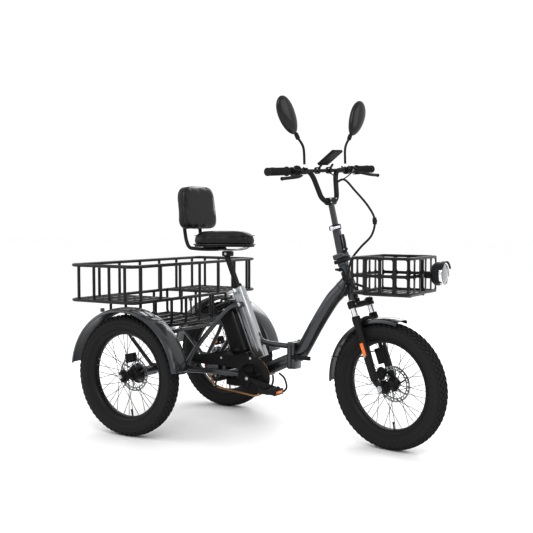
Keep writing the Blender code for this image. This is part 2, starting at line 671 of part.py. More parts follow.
# ---- pedalling ----------------------------------------------------------------------------------
def pedalling(crank, sprocket, derailleur, pedals):
    """Spindle, crank arms, chainring, rear sprocket, derailleur and pedals."""
    solid("crank_spindle", crank, rod(BB - SIDE * (CRANK_Y - CRANK_T / 2 - GAP),
                                      BB + SIDE * (CRANK_Y - CRANK_T / 2 - GAP),
                                      SPINDLE_R, 14), "steel")
    ring = CHAINRING_R
    for side, suffix in ((-1, "right"), (1, "left")):
        angle = CRANK_ANGLE if side < 0 else CRANK_ANGLE + math.pi
        reach = Vector((math.cos(angle), 0.0, math.sin(angle)))
        hub = BB + SIDE * (side * CRANK_Y)
        end = hub + reach * CRANK_L
        arm = block((hub + end) / 2, (0.022, CRANK_T, CRANK_L + 0.020), along=reach, bevel=0.003)
        if side < 0:
            inner, outer = CHAIN_Y - 0.0015, CHAIN_Y + 0.0015
            profile = [(inner, SPINDLE_R + GAP), (inner, ring), (outer, ring), (outer, 0.030),
                       (CRANK_Y - CRANK_T / 2 + 0.002, 0.020), (CRANK_Y - CRANK_T / 2 + 0.002,
                                                                SPINDLE_R + GAP)]
            wheel_part = turned(profile, 28, BB, -SIDE, ring=True)
            made = solid("crank_arm_right", crank, wheel_part, "black_paint")
            boolean(made, crank, "UNION", [arm])
        else:
            solid("crank_arm_left", crank, arm, "black_paint")
        pedal = pedals[suffix]
        body = block(pedal.pivot, PEDAL_SIZE, bevel=0.004)
        made = solid(f"pedal_{suffix}", pedal, body, "black_plastic")
        inner_end = pedal.pivot - SIDE * (side * (PEDAL_Y - CRANK_Y - CRANK_T / 2 - GAP))
        boolean(made, pedal, "UNION", [rod(inner_end, pedal.pivot, 0.0065, 10)])
    profile = [(0.0415, 0.012), (0.0415, 0.022), (CHAIN_Y - 0.0015, 0.022), (CHAIN_Y - 0.0015, SPROCKET_R),
               (CHAIN_Y + 0.0015, SPROCKET_R), (CHAIN_Y + 0.0015, 0.012)]
    solid("rear_sprocket", sprocket, turned(profile, 20, (SPROCKET.x, 0.0, SPROCKET.z), -SIDE), "steel")
    cage = outline([(0.262, 0.262), (0.250, 0.200), (0.240, 0.192), (0.252, 0.182), (0.266, 0.190),
                    (0.278, 0.258)], -(CHAIN_Y + 0.0095), 0.004)
    made = solid("derailleur", derailleur, cage, "black_plastic")
    boolean(made, derailleur, "UNION", [rod((0.268, -(CHAIN_Y + 0.0085), 0.252),
                                            (0.268, -(CHAIN_Y + 0.017), 0.252), 0.009, 10)])


# ---- seat ---------------------------------------------------------------------------------------
SADDLE_Z = 0.868


def seat(post_body, lever):
    """Seat post, saddle, backrest and the seat clamp's lever."""
    solid("seat_post", post_body, rod(seat_point(-POST_IN), seat_point(POST_OUT), POST_R, 16),
          "black_paint")
    top = seat_point(POST_OUT)
    outline_points = [(0.150, 0.060), (0.156, 0.105), (0.190, 0.125), (0.235, 0.120), (0.290, 0.075),
                      (0.340, 0.048), (0.400, 0.040), (0.422, 0.024)]
    ring = outline_points + [(x, -y) for x, y in reversed(outline_points)]
    solid("saddle_pad", post_body, plan_shape(ring, SADDLE_Z + GAP, SADDLE_Z + 0.060, 0.90), "vinyl")
    inner = [(0.165 + (x - 0.150) * 0.93, y * 0.88) for x, y in ring]
    shell = plan_shape(inner, SADDLE_Z - 0.010, SADDLE_Z, 1.0)
    made = solid("saddle_base", post_body, shell, "black_plastic")
    clamp_top = SADDLE_Z - 0.008
    clamp = [block((top.x + 0.008, 0.0, (top.z + clamp_top) / 2 + 0.004),
                   (0.052, 0.042, clamp_top - top.z + 0.004))]
    boolean(made, post_body, "UNION", clamp)
    boolean(made, post_body, "DIFFERENCE",
            [rod(seat_point(POST_OUT - 0.1), seat_point(POST_OUT) + SEAT_AXIS * GAP, POST_R + GAP, 16)])
    back_z = (0.935, 1.147)
    lean = Vector((-0.10, 0.0, 1.0))
    pad_mid = Vector((0.100, 0.0, sum(back_z) / 2))
    pad = block(pad_mid, (0.050, 0.280, back_z[1] - back_z[0]), along=lean, bevel=0.016)
    solid("backrest_pad", post_body, pad, "vinyl")
    x_back = 0.062
    half = [(x_back + 0.006, 0.062, 0.990), (x_back + 0.012, 0.062, 0.930), (x_back + 0.022, 0.062, 0.882),
            (0.108, 0.062, 0.852), (0.165, 0.062, 0.846), (0.222, 0.062, 0.846), (0.236, 0.045, 0.846)]
    route = [(x, -y, z) for x, y, z in half] + [(x, y, z) for x, y, z in reversed(half)]
    solid("backrest_frame", post_body, tube(route, 0.0085, 2, 2), "black_paint")
    start = lever.pivot
    grip = start + Vector((-0.055, -0.006, -0.016))
    made = solid("seat_clamp_lever", lever,
                 rod(start - SEAT_AXIS * 0.009, start + SEAT_AXIS * 0.009, 0.007, 10), "chrome")
    boolean(made, lever, "UNION", [rod(start, grip, 0.0055, 8, 0.004)])


def plan_shape(points, low, high, top_share):
    """A flat outline of (X, Y) points raised from low to high, its top drawn in a little."""
    shape = bmesh.new()
    loop = [shape.verts.new((x, y, low)) for x, y in points]
    face = shape.faces.new(loop)
    made = bmesh.ops.extrude_face_region(shape, geom=[face])
    lifted = [item for item in made["geom"] if isinstance(item, bmesh.types.BMVert)]
    bmesh.ops.translate(shape, vec=(0.0, 0.0, high - low), verts=lifted)
    if top_share != 1.0:
        centre = sum((v.co for v in lifted), Vector()) / len(lifted)
        bmesh.ops.scale(shape, vec=(top_share, top_share, 1.0), verts=lifted,
                        space=Matrix.Translation(-centre))
    return shape


# ---- front frame --------------------------------------------------------------------------------
def carrier_parts():
    """Two arms from the head tube that run under the front basket and carry it."""
    floor_z = FRONT_BASKET_Z[0] - CARRIER_R - GAP
    back_x, front_x = FRONT_BASKET_X
    parts = []
    for side in (-1, 1):
        y = side * CARRIER_Y
        parts.append(tube([head_point(-0.044, 0.008, side * 0.010), (0.975, side * 0.040, floor_z - 0.0008),
                           (back_x + 0.020, y, floor_z - 0.0002), (front_x - 0.030, y, floor_z - 0.0002)],
                          CARRIER_R, 2, 2))
    for x in (back_x + 0.030, front_x - 0.036):
        parts.append(rod((x, -CARRIER_Y, floor_z), (x, CARRIER_Y, floor_z), CARRIER_R - 0.0005, 8))
    return parts


def front_frame(front, latch):
    """Main tube, hinge plate, head tube, front basket, lamp, hinge pin and the frame latch."""
    plate_x = HINGE_X + PLATE_T / 2 + GAP
    plate = block((plate_x, -0.001, (HINGE_BOTTOM + HINGE_TOP) / 2),
                  (PLATE_T, HINGE_W - 0.002, HINGE_TOP - HINGE_BOTTOM),
                  bevel=0.003)
    frame = solid("front_frame", front, plate, "graphite_paint")
    main = tube([(plate_x + 0.006, 0.0, 0.370), (0.684, 0.0, 0.384), (0.712, 0.0, 0.428),
                 (0.770, 0.0, 0.526),
                 (0.838, 0.0, 0.628), (0.875, 0.0, 0.668), head_point(0.0) - Vector((0.004, 0.0, 0.0))],
                0.0330, 3, 2)
    bmesh.ops.scale(main, vec=(1.0, 0.86, 1.0), verts=main.verts)
    barrel = (HINGE_TOP - HINGE_BOTTOM) / 3
    low, high = HINGE_BOTTOM + barrel, HINGE_TOP - barrel - 0.001
    parts = [
        main,
        rod(head_point(-HEAD_LENGTH / 2), head_point(HEAD_LENGTH / 2), HEAD_R, 18),
        rod((HINGE_X, HINGE_Y, low), (HINGE_X, HINGE_Y, high), KNUCKLE_R, 12),
        block((HINGE_X + 0.0095, HINGE_Y - 0.011, (low + high) / 2), (0.016, 0.018, high - low)),
    ]
    parts += carrier_parts()
    boolean(frame, front, "UNION", parts)
    boolean(frame, front, "DIFFERENCE", [
        rod(head_point(-HEAD_LENGTH), head_point(HEAD_LENGTH), STEERER_R + BORE_CLEAR, 16),
        rod((HINGE_X, HINGE_Y, low - 0.01), (HINGE_X, HINGE_Y, high + 0.01), PIN_R + GAP, 12),
    ])
    lever_y = -HINGE_W / 2 - 0.010
    pivot = latch.pivot
    made = solid("frame_latch_lever", latch, rod(pivot - UP * 0.012, pivot + UP * 0.012, 0.009, 12),
                 "black_paint")
    boolean(made, latch, "UNION", [
        block((pivot.x + 0.046, lever_y - 0.0015, pivot.z), (0.084, 0.008, 0.018), bevel=0.002)])
    solid_basket(front)
    lamp = [(0.0, 0.020), (0.008, 0.042), (0.020, LAMP_R), (LAMP_L, LAMP_R), (LAMP_L, LAMP_R - 0.004),
            (LAMP_L - 0.010, LAMP_R - 0.006), (LAMP_L - 0.012, 0.010)]
    made = solid("headlight_body", front, turned(lamp, 24, (LAMP_X, 0.0, LAMP_Z), Vector((1.0, 0.0, 0.0))),
                 "black_paint")
    mount_x = (FRONT_BASKET_X[1] + GAP, LAMP_X + 0.004)
    boolean(made, front, "UNION", [
        block((sum(mount_x) / 2, 0.0, LAMP_Z - 0.006), (mount_x[1] - mount_x[0], 0.022, 0.026),
              bevel=0.002)])
    lens = [(LAMP_L - 0.008, 0.010), (LAMP_L - 0.008, LAMP_R - 0.009), (LAMP_L - 0.003, LAMP_R - 0.009),
            (LAMP_L + 0.001, 0.020)]
    solid("headlight_lens", front, turned(lens, 24, (LAMP_X, 0.0, LAMP_Z), Vector((1.0, 0.0, 0.0))),
          "lamp_glass")


def solid_basket(front):
    """Front basket: flat bars with two rows of windows, its carrier arms and the lamp bracket."""
    x0, x1 = FRONT_BASKET_X
    length, width = x1 - x0, 2 * FRONT_BASKET_Y
    z0, z1 = FRONT_BASKET_Z
    height = z1 - z0
    long_cuts = bar_cuts(width, 4, FRONT_BAR)
    short_cuts = bar_cuts(length, 3, FRONT_BAR)
    tall = bar_cuts(height, 2, FRONT_BAR)
    panels = []
    for x in (x0, x1):
        panels.append(((x, -FRONT_BASKET_Y, z0), (0, width, 0), (0, 0, height), long_cuts, tall,
                       grid_windows(long_cuts, tall)))
    for y in (-FRONT_BASKET_Y, FRONT_BASKET_Y):
        panels.append(((x0, y, z0), (length, 0, 0), (0, 0, height), short_cuts, tall,
                       grid_windows(short_cuts, tall)))
    panels.append(((x0, -FRONT_BASKET_Y, z0), (length, 0, 0), (0, width, 0), short_cuts, long_cuts,
                   grid_windows(short_cuts, long_cuts)))
    solid("front_basket", front, lattice(panels, FRONT_WALL), "black_paint")


# ---- steering, fork and front wheel -------------------------------------------------------------
def fork(steering, lowers, wheel_body):
    """Steerer with crown and stanchions, sliding lower legs, fender, caliper and the wheel."""
    crown_mid = CROWN_TOP_S - CROWN_T / 2
    crown = block(head_point(crown_mid, LEG_OFFSET / 2), (0.060, 2 * LEG_Y + 0.044, CROWN_T),
                  along=HEAD_AXIS, bevel=0.005)
    made = solid("fork_crown", steering, crown, "graphite_paint")
    parts = [rod(head_point(CROWN_TOP_S - 0.010), head_point(0.106), STEERER_R, 16)]
    for side in (-1, 1):
        parts.append(rod(head_point(STANCHION_BOTTOM_S, LEG_OFFSET, side * LEG_Y),
                         head_point(CROWN_TOP_S - 0.004, LEG_OFFSET, side * LEG_Y), STANCHION_R, 14))
        parts.append(rod(head_point(CROWN_TOP_S - 0.008, LEG_OFFSET, side * LEG_Y),
                         head_point(CROWN_TOP_S + 0.010, LEG_OFFSET, side * LEG_Y), 0.0165, 12))
    boolean(made, steering, "UNION", parts)

    axle_s = (FRONT_AXLE - HEAD_MID).dot(HEAD_AXIS)
    axle_f = (FRONT_AXLE - HEAD_MID).dot(HEAD_FRONT)
    leg = rod(head_point(LEG_BOTTOM_S, LEG_OFFSET, -LEG_Y), head_point(LEG_TOP_S, LEG_OFFSET, -LEG_Y),
              LEG_R, 16)
    made = solid("fork_lowers", lowers, leg, "black_paint")
    parts = [rod(head_point(LEG_BOTTOM_S, LEG_OFFSET, LEG_Y), head_point(LEG_TOP_S, LEG_OFFSET, LEG_Y),
                 LEG_R, 16)]
    parts.append(block(head_point(LEG_TOP_S - 0.0085, LEG_OFFSET + 0.002), (0.022, 2 * LEG_Y, 0.013),
                       along=HEAD_AXIS, bevel=0.002))
    for side in (-1, 1):
        drop_mid = head_point((axle_s + LEG_BOTTOM_S) / 2, (axle_f + LEG_OFFSET) / 2, side * LEG_Y)
        parts.append(block(drop_mid, (0.034, 0.012, 0.078), along=HEAD_AXIS * 1.0 - HEAD_FRONT * 0.35,
                           bevel=0.003))
        angle = math.radians(STAY_ANGLE)
        reach = FRONT_FENDER_R - FENDER_DROP
        tail = FRONT_AXLE + Vector((math.cos(angle), 0.0, math.sin(angle))) * reach
        parts.append(rod(head_point(-0.330, LEG_OFFSET, side * (LEG_Y - 0.006)),
                         tail + SIDE * (side * (FRONT_FENDER_HALF + 0.0036)), 0.003, 6))
    parts.append(rod(FRONT_AXLE - SIDE * (LEG_Y + 0.016), FRONT_AXLE + SIDE * (LEG_Y + 0.016), 0.006, 12))
    boolean(made, lowers, "UNION", parts)
    bores = [rod(head_point(STANCHION_BOTTOM_S - FORK_TRAVEL - 0.012, LEG_OFFSET, side * LEG_Y),
                 head_point(LEG_TOP_S + 0.01, LEG_OFFSET, side * LEG_Y), STANCHION_R + BORE_CLEAR, 14)
             for side in (-1, 1)]
    boolean(made, lowers, "DIFFERENCE", bores)

    solid("front_fender", lowers,
          fender_shape(FRONT_AXLE, FRONT_FENDER_R, FRONT_FENDER_HALF, 76.0, 181.0, 12), "graphite_paint")
    rotor_y = ROTOR_OFFSET + ROTOR_T / 2
    body, slot = caliper_shape(FRONT_AXLE, 1, math.radians(150.0), (0.0335, 0.0455), rotor_y)
    made = solid("front_caliper", lowers, body, "black_paint")
    boolean(made, lowers, "DIFFERENCE", [slot])
    wheel("front", "", wheel_body, FRONT_AXLE, 1, bore=0.0065)


def stem_and_bar(steering, stem, latch, post, clamp, brakes, mirrors, shifter, display):
    """Folding stem, telescopic post, handlebar, grips, levers, mirrors and display."""
    base_low, base_high = 0.0885, 0.1065
    base = block(head_point((base_low + base_high) / 2), (0.066, 0.060, base_high - base_low),
                 along=HEAD_AXIS, bevel=0.003)
    made = solid("stem_base", steering, base, "black_paint")
    boolean(made, steering, "DIFFERENCE",
            [rod(head_point(base_low - 0.01), head_point(base_high + 0.01), STEERER_R + GAP, 16)])
    foot = head_point(base_high + GAP)
    stem_low = 0.022
    tube_part = rod(stem_point(stem_low), stem_point(STEM_L), STEM_R, 18)
    made = solid("stem_tube", stem, tube_part, "graphite_paint")
    foot_block = block(foot + HEAD_AXIS * 0.013, (0.060, 0.056, 0.026), along=HEAD_AXIS, bevel=0.003)
    collar = rod(stem_point(STEM_L - 0.026), stem_point(STEM_L + 0.002), STEM_R + 0.005, 18)
    boolean(made, stem, "UNION", [foot_block, collar])
    boolean(made, stem, "DIFFERENCE",
            [rod(stem_point(STEM_L - BAR_POST_IN - BAR_DOWN - 0.004), stem_point(STEM_L + 0.02),
                 BAR_POST_R + BORE_CLEAR, 16)])

    latch_mid = latch.pivot
    made = solid("stem_latch_lever", latch,
                 rod(latch_mid - SIDE * 0.010, latch_mid + SIDE * 0.010, 0.007, 10), "black_paint")
    boolean(made, latch, "UNION", [
        block(latch_mid + STEM_AXIS * 0.041, (0.007, 0.018, 0.078), along=STEM_AXIS, bevel=0.002)])

    top = STEM_L + BAR_POST_OUT
    solid("handlebar_post", post, rod(stem_point(STEM_L - BAR_POST_IN), stem_point(top), BAR_POST_R, 16),
          "graphite_paint")
    start = clamp.pivot
    made = solid("post_clamp_lever", clamp,
                 rod(start - STEM_AXIS * 0.009, start + STEM_AXIS * 0.009, 0.006, 10), "black_plastic")
    boolean(made, clamp, "UNION", [rod(start, start + Vector((0.060, -0.006, 0.014)), 0.0055, 8, 0.0045)])

    head = stem_point(top + 0.012)
    bar = rod((BAR_X, -BAR_HALF, BAR_Z), (BAR_X, BAR_HALF, BAR_Z), BAR_R, 12)
    made = solid("handlebar", post, bar, "black_paint")
    riser = tube([(BAR_X, -0.086, BAR_Z - 0.003), (BAR_X + 0.008, -0.082, BAR_Z - 0.030),
                  (head.x - 0.008, -0.050, head.z + 0.022),
                  (head.x, 0.0, head.z), (head.x - 0.008, 0.050, head.z + 0.022), (BAR_X + 0.008, 0.082,
                                                                                   BAR_Z - 0.030),
                  (BAR_X, 0.086, BAR_Z - 0.003)], 0.0105, 2, 2)
    clamp_block = block(head, (0.040, 0.058, 0.0235), along=STEM_AXIS, bevel=0.004)
    boolean(made, post, "UNION", [riser, clamp_block])
    for side, suffix in ((-1, "right"), (1, "left")):
        end = side * (BAR_HALF + 0.006)
        start_y = side * (BAR_HALF + 0.006 - GRIP_L)
        grip = solid(f"grip_{suffix}", post, rod((BAR_X, start_y, BAR_Z), (BAR_X, end, BAR_Z), GRIP_R, 14),
                     "grip_rubber")
        boolean(grip, post, "DIFFERENCE",
                [rod((BAR_X, 0.0, BAR_Z), (BAR_X, side * (BAR_HALF + GAP), BAR_Z), BAR_R + 2 * GAP, 12)])
        brake = brakes[suffix]
        pivot = brake.pivot
        tip = Vector((pivot.x + 0.022, side * 0.345, pivot.z - 0.020))
        lever = tube([pivot, pivot + Vector((0.026, side * 0.020, -0.008)),
                      pivot + Vector((0.034, side * 0.060, -0.015)), tip], 0.0055, 1, 3)
        made = solid(f"brake_lever_{suffix}", brake,
                     rod(pivot - UP * 0.008, pivot + UP * 0.008, 0.008, 10), "black_paint")
        boolean(made, brake, "UNION", [lever])
        mirror = mirrors[suffix]
        foot_point = mirror.pivot
        stalk_top = foot_point + Vector((0.0, side * 0.004, 0.085))
        neck = foot_point + Vector((-0.002, side * 0.040, 0.130))
        made = solid(f"mirror_{suffix}", mirror,
                     tube([foot_point, stalk_top, neck, neck + Vector((0.0, side * 0.03, 0.035))], 0.0055,
                          1, 3), "black_plastic")
        boolean(made, mirror, "UNION", [mirror_head(neck + Vector((0.0, side * 0.062, 0.090)), side)])
    made = solid("shift_lever", shifter, rod(shifter.pivot - SIDE * 0.006, shifter.pivot + SIDE * 0.006,
                                             0.024, 14), "black_plastic")
    boolean(made, shifter, "UNION", [block(shifter.pivot + Vector((-0.020, 0.0, -0.024)),
                                           (0.030, 0.010, 0.016), bevel=0.003)])
    boolean(made, shifter, "DIFFERENCE", [rod(shifter.pivot - SIDE * 0.05, shifter.pivot + SIDE * 0.05,
                                              BAR_R + 0.0009, 12)])
    tilt = Vector((-0.55, 0.0, 0.84))
    solid("display_unit", display, block(display.pivot + Vector((0.040, 0.0, 0.040)),
                                         (0.105, 0.072, 0.014), along=tilt, bevel=0.003), "black_plastic")


def cable_bundle(body):
    """The brake, shift and lamp cables in one sleeve, from the handlebar's clamp down past the head tube."""
    route = [(0.872, -0.020, 1.150), (0.915, -0.030, 1.158), (0.969, -0.038, 1.110), (1.030, -0.038, 1.045),
             (1.062, -0.037, 0.985), (1.048, -0.037, 0.920), (0.998, -0.039, 0.868), (0.957, -0.043, 0.815),
             (0.940, -0.046, 0.750), (0.922, -0.048, 0.690), (0.893, -0.049, 0.640)]
    curve = bpy.data.curves.new("cable_bundle", "CURVE")
    curve.dimensions = "3D"
    curve.bevel_depth = CABLE_R
    curve.bevel_resolution = 2
    curve.use_fill_caps = True
    spline = curve.splines.new("POLY")
    points = smooth_route(route, 4)
    spline.points.add(len(points) - 1)
    for place, point in zip(spline.points, points):
        place.co = (*(point - body.pivot), 1.0)
    curve.materials.append(finish("black_plastic"))
    thing = bpy.data.objects.new("cable_bundle", curve)
    thing.parent = body.empty
    bpy.context.scene.collection.objects.link(thing)


def mirror_head(centre, side):
    """An egg-shaped mirror shell, taller than wide, facing back."""
    shape = bmesh.new()
    bmesh.ops.create_icosphere(shape, subdivisions=2, radius=1.0)
    for vert in shape.verts:
        vert.co.x *= 0.020
        vert.co.y *= 0.058
        vert.co.z *= 0.090
    turn = Matrix.Rotation(side * math.radians(-32.0), 4, "X")
    bmesh.ops.transform(shape, matrix=Matrix.Translation(centre) @ turn, verts=shape.verts)
    return shape


def centre_on_footprint(root):
    """Slides the assembly along X and Y so that its visible footprint is centred on the origin."""
    bpy.context.view_layer.update()
    graph = bpy.context.evaluated_depsgraph_get()
    low, high = Vector((1e9, 1e9)), Vector((-1e9, -1e9))
    for thing in bpy.context.scene.objects:
        if thing.type != "MESH" or thing.hide_render:
            continue
        seen = thing.evaluated_get(graph)
        for vert in seen.data.vertices:
            spot = seen.matrix_world @ vert.co
            low = Vector((min(low.x, spot.x), min(low.y, spot.y)))
            high = Vector((max(high.x, spot.x), max(high.y, spot.y)))
    root.empty.location.x -= (low.x + high.x) / 2
    root.empty.location.y -= (low.y + high.y) / 2
    bpy.context.view_layer.update()


def main():
    for thing in list(bpy.data.objects):
        bpy.data.objects.remove(thing)
    root = Body("tricycle")
    rear_frame(root)
    drive_and_brakes(root)
    rear_basket(root)

    for side, suffix in ((-1, "_right"), (1, "_left")):
        centre = REAR_AXLE + SIDE * (side * TRACK / 2)
        body = Body(f"rear_wheel{suffix}_spin", centre, root)
        wheel("rear", suffix, body, centre, -side, shaft_end=ROTOR_OFFSET + 0.026 + 0.100)

    crank = Body("crank_turn", BB, root)
    sprocket = Body("sprocket_turn", SPROCKET, root)
    derailleur = Body("derailleur_swing", (0.268, -(CHAIN_Y + 0.0105), 0.252), root)
    reach = Vector((math.cos(CRANK_ANGLE), 0.0, math.sin(CRANK_ANGLE))) * CRANK_L
    pedals = {
        "right": Body("pedal_right_turn", BB + reach - SIDE * PEDAL_Y, crank),
        "left": Body("pedal_left_turn", BB - reach + SIDE * PEDAL_Y, crank),
    }
    pedalling(crank, sprocket, derailleur, pedals)

    seat(Body("seat_slide", SEAT_TOP, root), Body("seat_clamp_turn", seat_point(-0.012, side=-0.040), root))

    front = Body("front_frame_fold", (HINGE_X, HINGE_Y, (HINGE_BOTTOM + HINGE_TOP) / 2), root)
    latch = Body("frame_latch_turn", (HINGE_X + 0.020, -HINGE_W / 2 - 0.0115, 0.368), front)
    solid("hinge_pin", root, rod((HINGE_X, HINGE_Y, HINGE_BOTTOM - 0.004),
                                 (HINGE_X, HINGE_Y, HINGE_TOP + 0.004), PIN_R, 12), "steel")
    front_frame(front, latch)

    steering = Body("steering_turn", HEAD_MID, front)
    steering.empty.rotation_mode = "AXIS_ANGLE"
    steering.empty.rotation_axis_angle = (STEER_REST, *HEAD_AXIS)
    lowers = Body("fork_slide", head_point(LEG_TOP_S, LEG_OFFSET), steering)
    spin = Body("front_wheel_spin", FRONT_AXLE, lowers)
    fork(steering, lowers, spin)

    stem = Body("stem_fold_turn", head_point(0.1066, 0.0, 0.034), steering)
    stem_latch = Body("stem_latch_turn", stem_point(0.050, STEM_R + 0.0085), stem)
    post = Body("bar_slide", stem_point(STEM_L), stem)
    clamp = Body("post_clamp_turn", stem_point(STEM_L - 0.012, 0.0, -(STEM_R + 0.0125)), stem)
    brakes = {name: Body(f"brake_{name}_pull", (BAR_X + 0.032, side * 0.205, BAR_Z - 0.010), post)
              for name, side in (("right", -1), ("left", 1))}
    mirrors = {name: Body(f"mirror_{name}_swivel", (BAR_X, y, BAR_Z + BAR_R + 0.003), post)
               for name, y in (("right", -0.130), ("left", 0.165))}
    shifter = Body("shifter_turn", (BAR_X, -0.182, BAR_Z), post)
    display = Body("display_tilt", (BAR_X, 0.0, BAR_Z + 0.0145), post)
    stem_and_bar(steering, stem, stem_latch, post, clamp, brakes, mirrors, shifter, display)
    cable_bundle(front)

    centre_on_footprint(root)


main()
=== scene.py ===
"""Looks of the folding electric tricycle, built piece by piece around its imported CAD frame.

Design coordinates are metres with the rear axle over X = 0, the ground at Z = 0, +X forward and +Y to the
rider's left. The layout turns them into the frame's own coordinates. What steers is built straight ahead
and then turned about the steering axis by the angle that the frame rests at.
"""

import json
import logging
import math
from collections.abc import Iterable, Sequence
from dataclasses import dataclass, field
from enum import Enum

import bmesh
import bpy
from mathutils import Matrix, Vector


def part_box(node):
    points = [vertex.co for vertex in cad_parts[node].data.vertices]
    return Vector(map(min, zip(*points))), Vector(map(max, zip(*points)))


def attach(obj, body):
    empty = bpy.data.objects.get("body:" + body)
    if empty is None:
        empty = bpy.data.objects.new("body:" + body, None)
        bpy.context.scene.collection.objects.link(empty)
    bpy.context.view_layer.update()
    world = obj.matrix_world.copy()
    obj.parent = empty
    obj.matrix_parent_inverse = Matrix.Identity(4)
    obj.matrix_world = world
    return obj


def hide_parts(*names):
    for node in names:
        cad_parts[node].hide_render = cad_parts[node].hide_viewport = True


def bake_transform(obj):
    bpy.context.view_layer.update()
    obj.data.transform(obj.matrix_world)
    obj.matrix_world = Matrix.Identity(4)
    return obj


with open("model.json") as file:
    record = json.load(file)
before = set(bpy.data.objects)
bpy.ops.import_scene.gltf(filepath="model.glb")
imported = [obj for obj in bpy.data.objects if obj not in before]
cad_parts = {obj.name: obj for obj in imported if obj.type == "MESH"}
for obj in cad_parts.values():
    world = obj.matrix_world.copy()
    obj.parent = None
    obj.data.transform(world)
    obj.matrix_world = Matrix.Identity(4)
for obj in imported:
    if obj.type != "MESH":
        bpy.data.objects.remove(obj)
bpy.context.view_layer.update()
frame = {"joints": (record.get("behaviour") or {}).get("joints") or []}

log = logging.getLogger("tricycle")

SIDE = Vector((0.0, 1.0, 0.0))
UP = Vector((0.0, 0.0, 1.0))
AHEAD = Vector((1.0, 0.0, 0.0))

Colour = tuple[float, float, float]
Profile = Sequence[tuple[float, float]]


# ---- shader maths -------------------------------------------------------------------------------
class Signal:
    """One output socket of a material, with the arithmetic that its pattern needs."""

    def __init__(self, graph: "Graph", socket: bpy.types.NodeSocket) -> None:
        """Wraps a socket of the graph."""
        self.graph = graph
        self.socket = socket

    def _math(self, operation: str, first: "Signal | float", second: "Signal | float") -> "Signal":
        """One Math node on two values."""
        return self.graph.node("ShaderNodeMath", {"operation": operation}, {0: first, 1: second})

    def __add__(self, other: "Signal | float") -> "Signal":
        """Sum."""
        return self._math("ADD", self, other)

    def __radd__(self, other: float) -> "Signal":
        """Sum with the number first."""
        return self._math("ADD", other, self)

    def __sub__(self, other: "Signal | float") -> "Signal":
        """Difference."""
        return self._math("SUBTRACT", self, other)

    def __rsub__(self, other: float) -> "Signal":
        """Difference with the number first."""
        return self._math("SUBTRACT", other, self)

    def __mul__(self, other: "Signal | float") -> "Signal":
        """Product."""
        return self._math("MULTIPLY", self, other)

    def __rmul__(self, other: float) -> "Signal":
        """Product with the number first."""
        return self._math("MULTIPLY", other, self)

    def smooth(self, low: float, high: float) -> "Signal":
        """0 under low, 1 over high and a smooth rise between them."""
        settings = {"interpolation_type": "SMOOTHSTEP"}
        return self.graph.node("ShaderNodeMapRange", settings, {0: self, 1: low, 2: high})


class Graph:
    """A material's node tree, with one method that adds any node."""

    def __init__(self, name: str) -> None:
        """Makes a material of that name with a Principled shader."""
        self.material = bpy.data.materials.new(name)
        self.material.use_nodes = True
        self.tree = self.material.node_tree
        self.shader = self.tree.nodes["Principled BSDF"]

    def node(self, kind: str, settings: dict, sockets: dict, output: int | str = 0) -> Signal:
        """Adds a node.

        Args:
            kind: the node's type.
            settings: its properties, set before its sockets.
            sockets: the values or signals of its inputs, by index or name.
            output: which output to return.

        Returns:
            The chosen output.
        """
        made = self.tree.nodes.new(kind)
        for key, value in settings.items():
            setattr(made, key, value)
        for key, value in sockets.items():
            self.feed(made.inputs[key], value)
        return Signal(self, made.outputs[output])

    def feed(self, socket: bpy.types.NodeSocket, value: "Signal | float | Sequence[float]") -> None:
        """Links a signal to a socket, or sets the socket's value."""
        if isinstance(value, Signal):
            self.tree.links.new(value.socket, socket)
        else:
            socket.default_value = value

    def place(self) -> Signal:
        """Object coordinates."""
        return self.node("ShaderNodeTexCoord", {}, {}, "Object")

    def stretched(self, scale: Sequence[float]) -> Signal:
        """Object coordinates stretched along each axis."""
        return self.node("ShaderNodeMapping", {}, {"Vector": self.place(), "Scale": scale})

    def noise(self, scale: float, detail: float = 2.0, where: Signal | None = None) -> Signal:
        """Noise from 0 to 1, with features about 1 / scale metres across."""
        sockets = {"Vector": where or self.place(), "Scale": scale, "Detail": detail, "Roughness": 0.55}
        return self.node("ShaderNodeTexNoise", {}, sockets)

    def cells(self, scale: float) -> Signal:
        """Distance to the nearest cell centre."""
        return self.node("ShaderNodeTexVoronoi", {}, {"Vector": self.place(), "Scale": scale})

    def blend(self, share: Signal, first: "Signal | Sequence[float]",
              second: "Signal | Sequence[float]") -> Signal:
        """A colour that goes from the first to the second as the share goes from 0 to 1."""
        return self.node("ShaderNodeMix", {"data_type": "RGBA"}, {0: share, 6: first, 7: second}, 2)

    def bump(self, height: Signal, strength: float, distance: float) -> Signal:
        """A normal pushed about by a height."""
        return self.node("ShaderNodeBump", {}, {"Strength": strength, "Distance": distance, "Height": height})


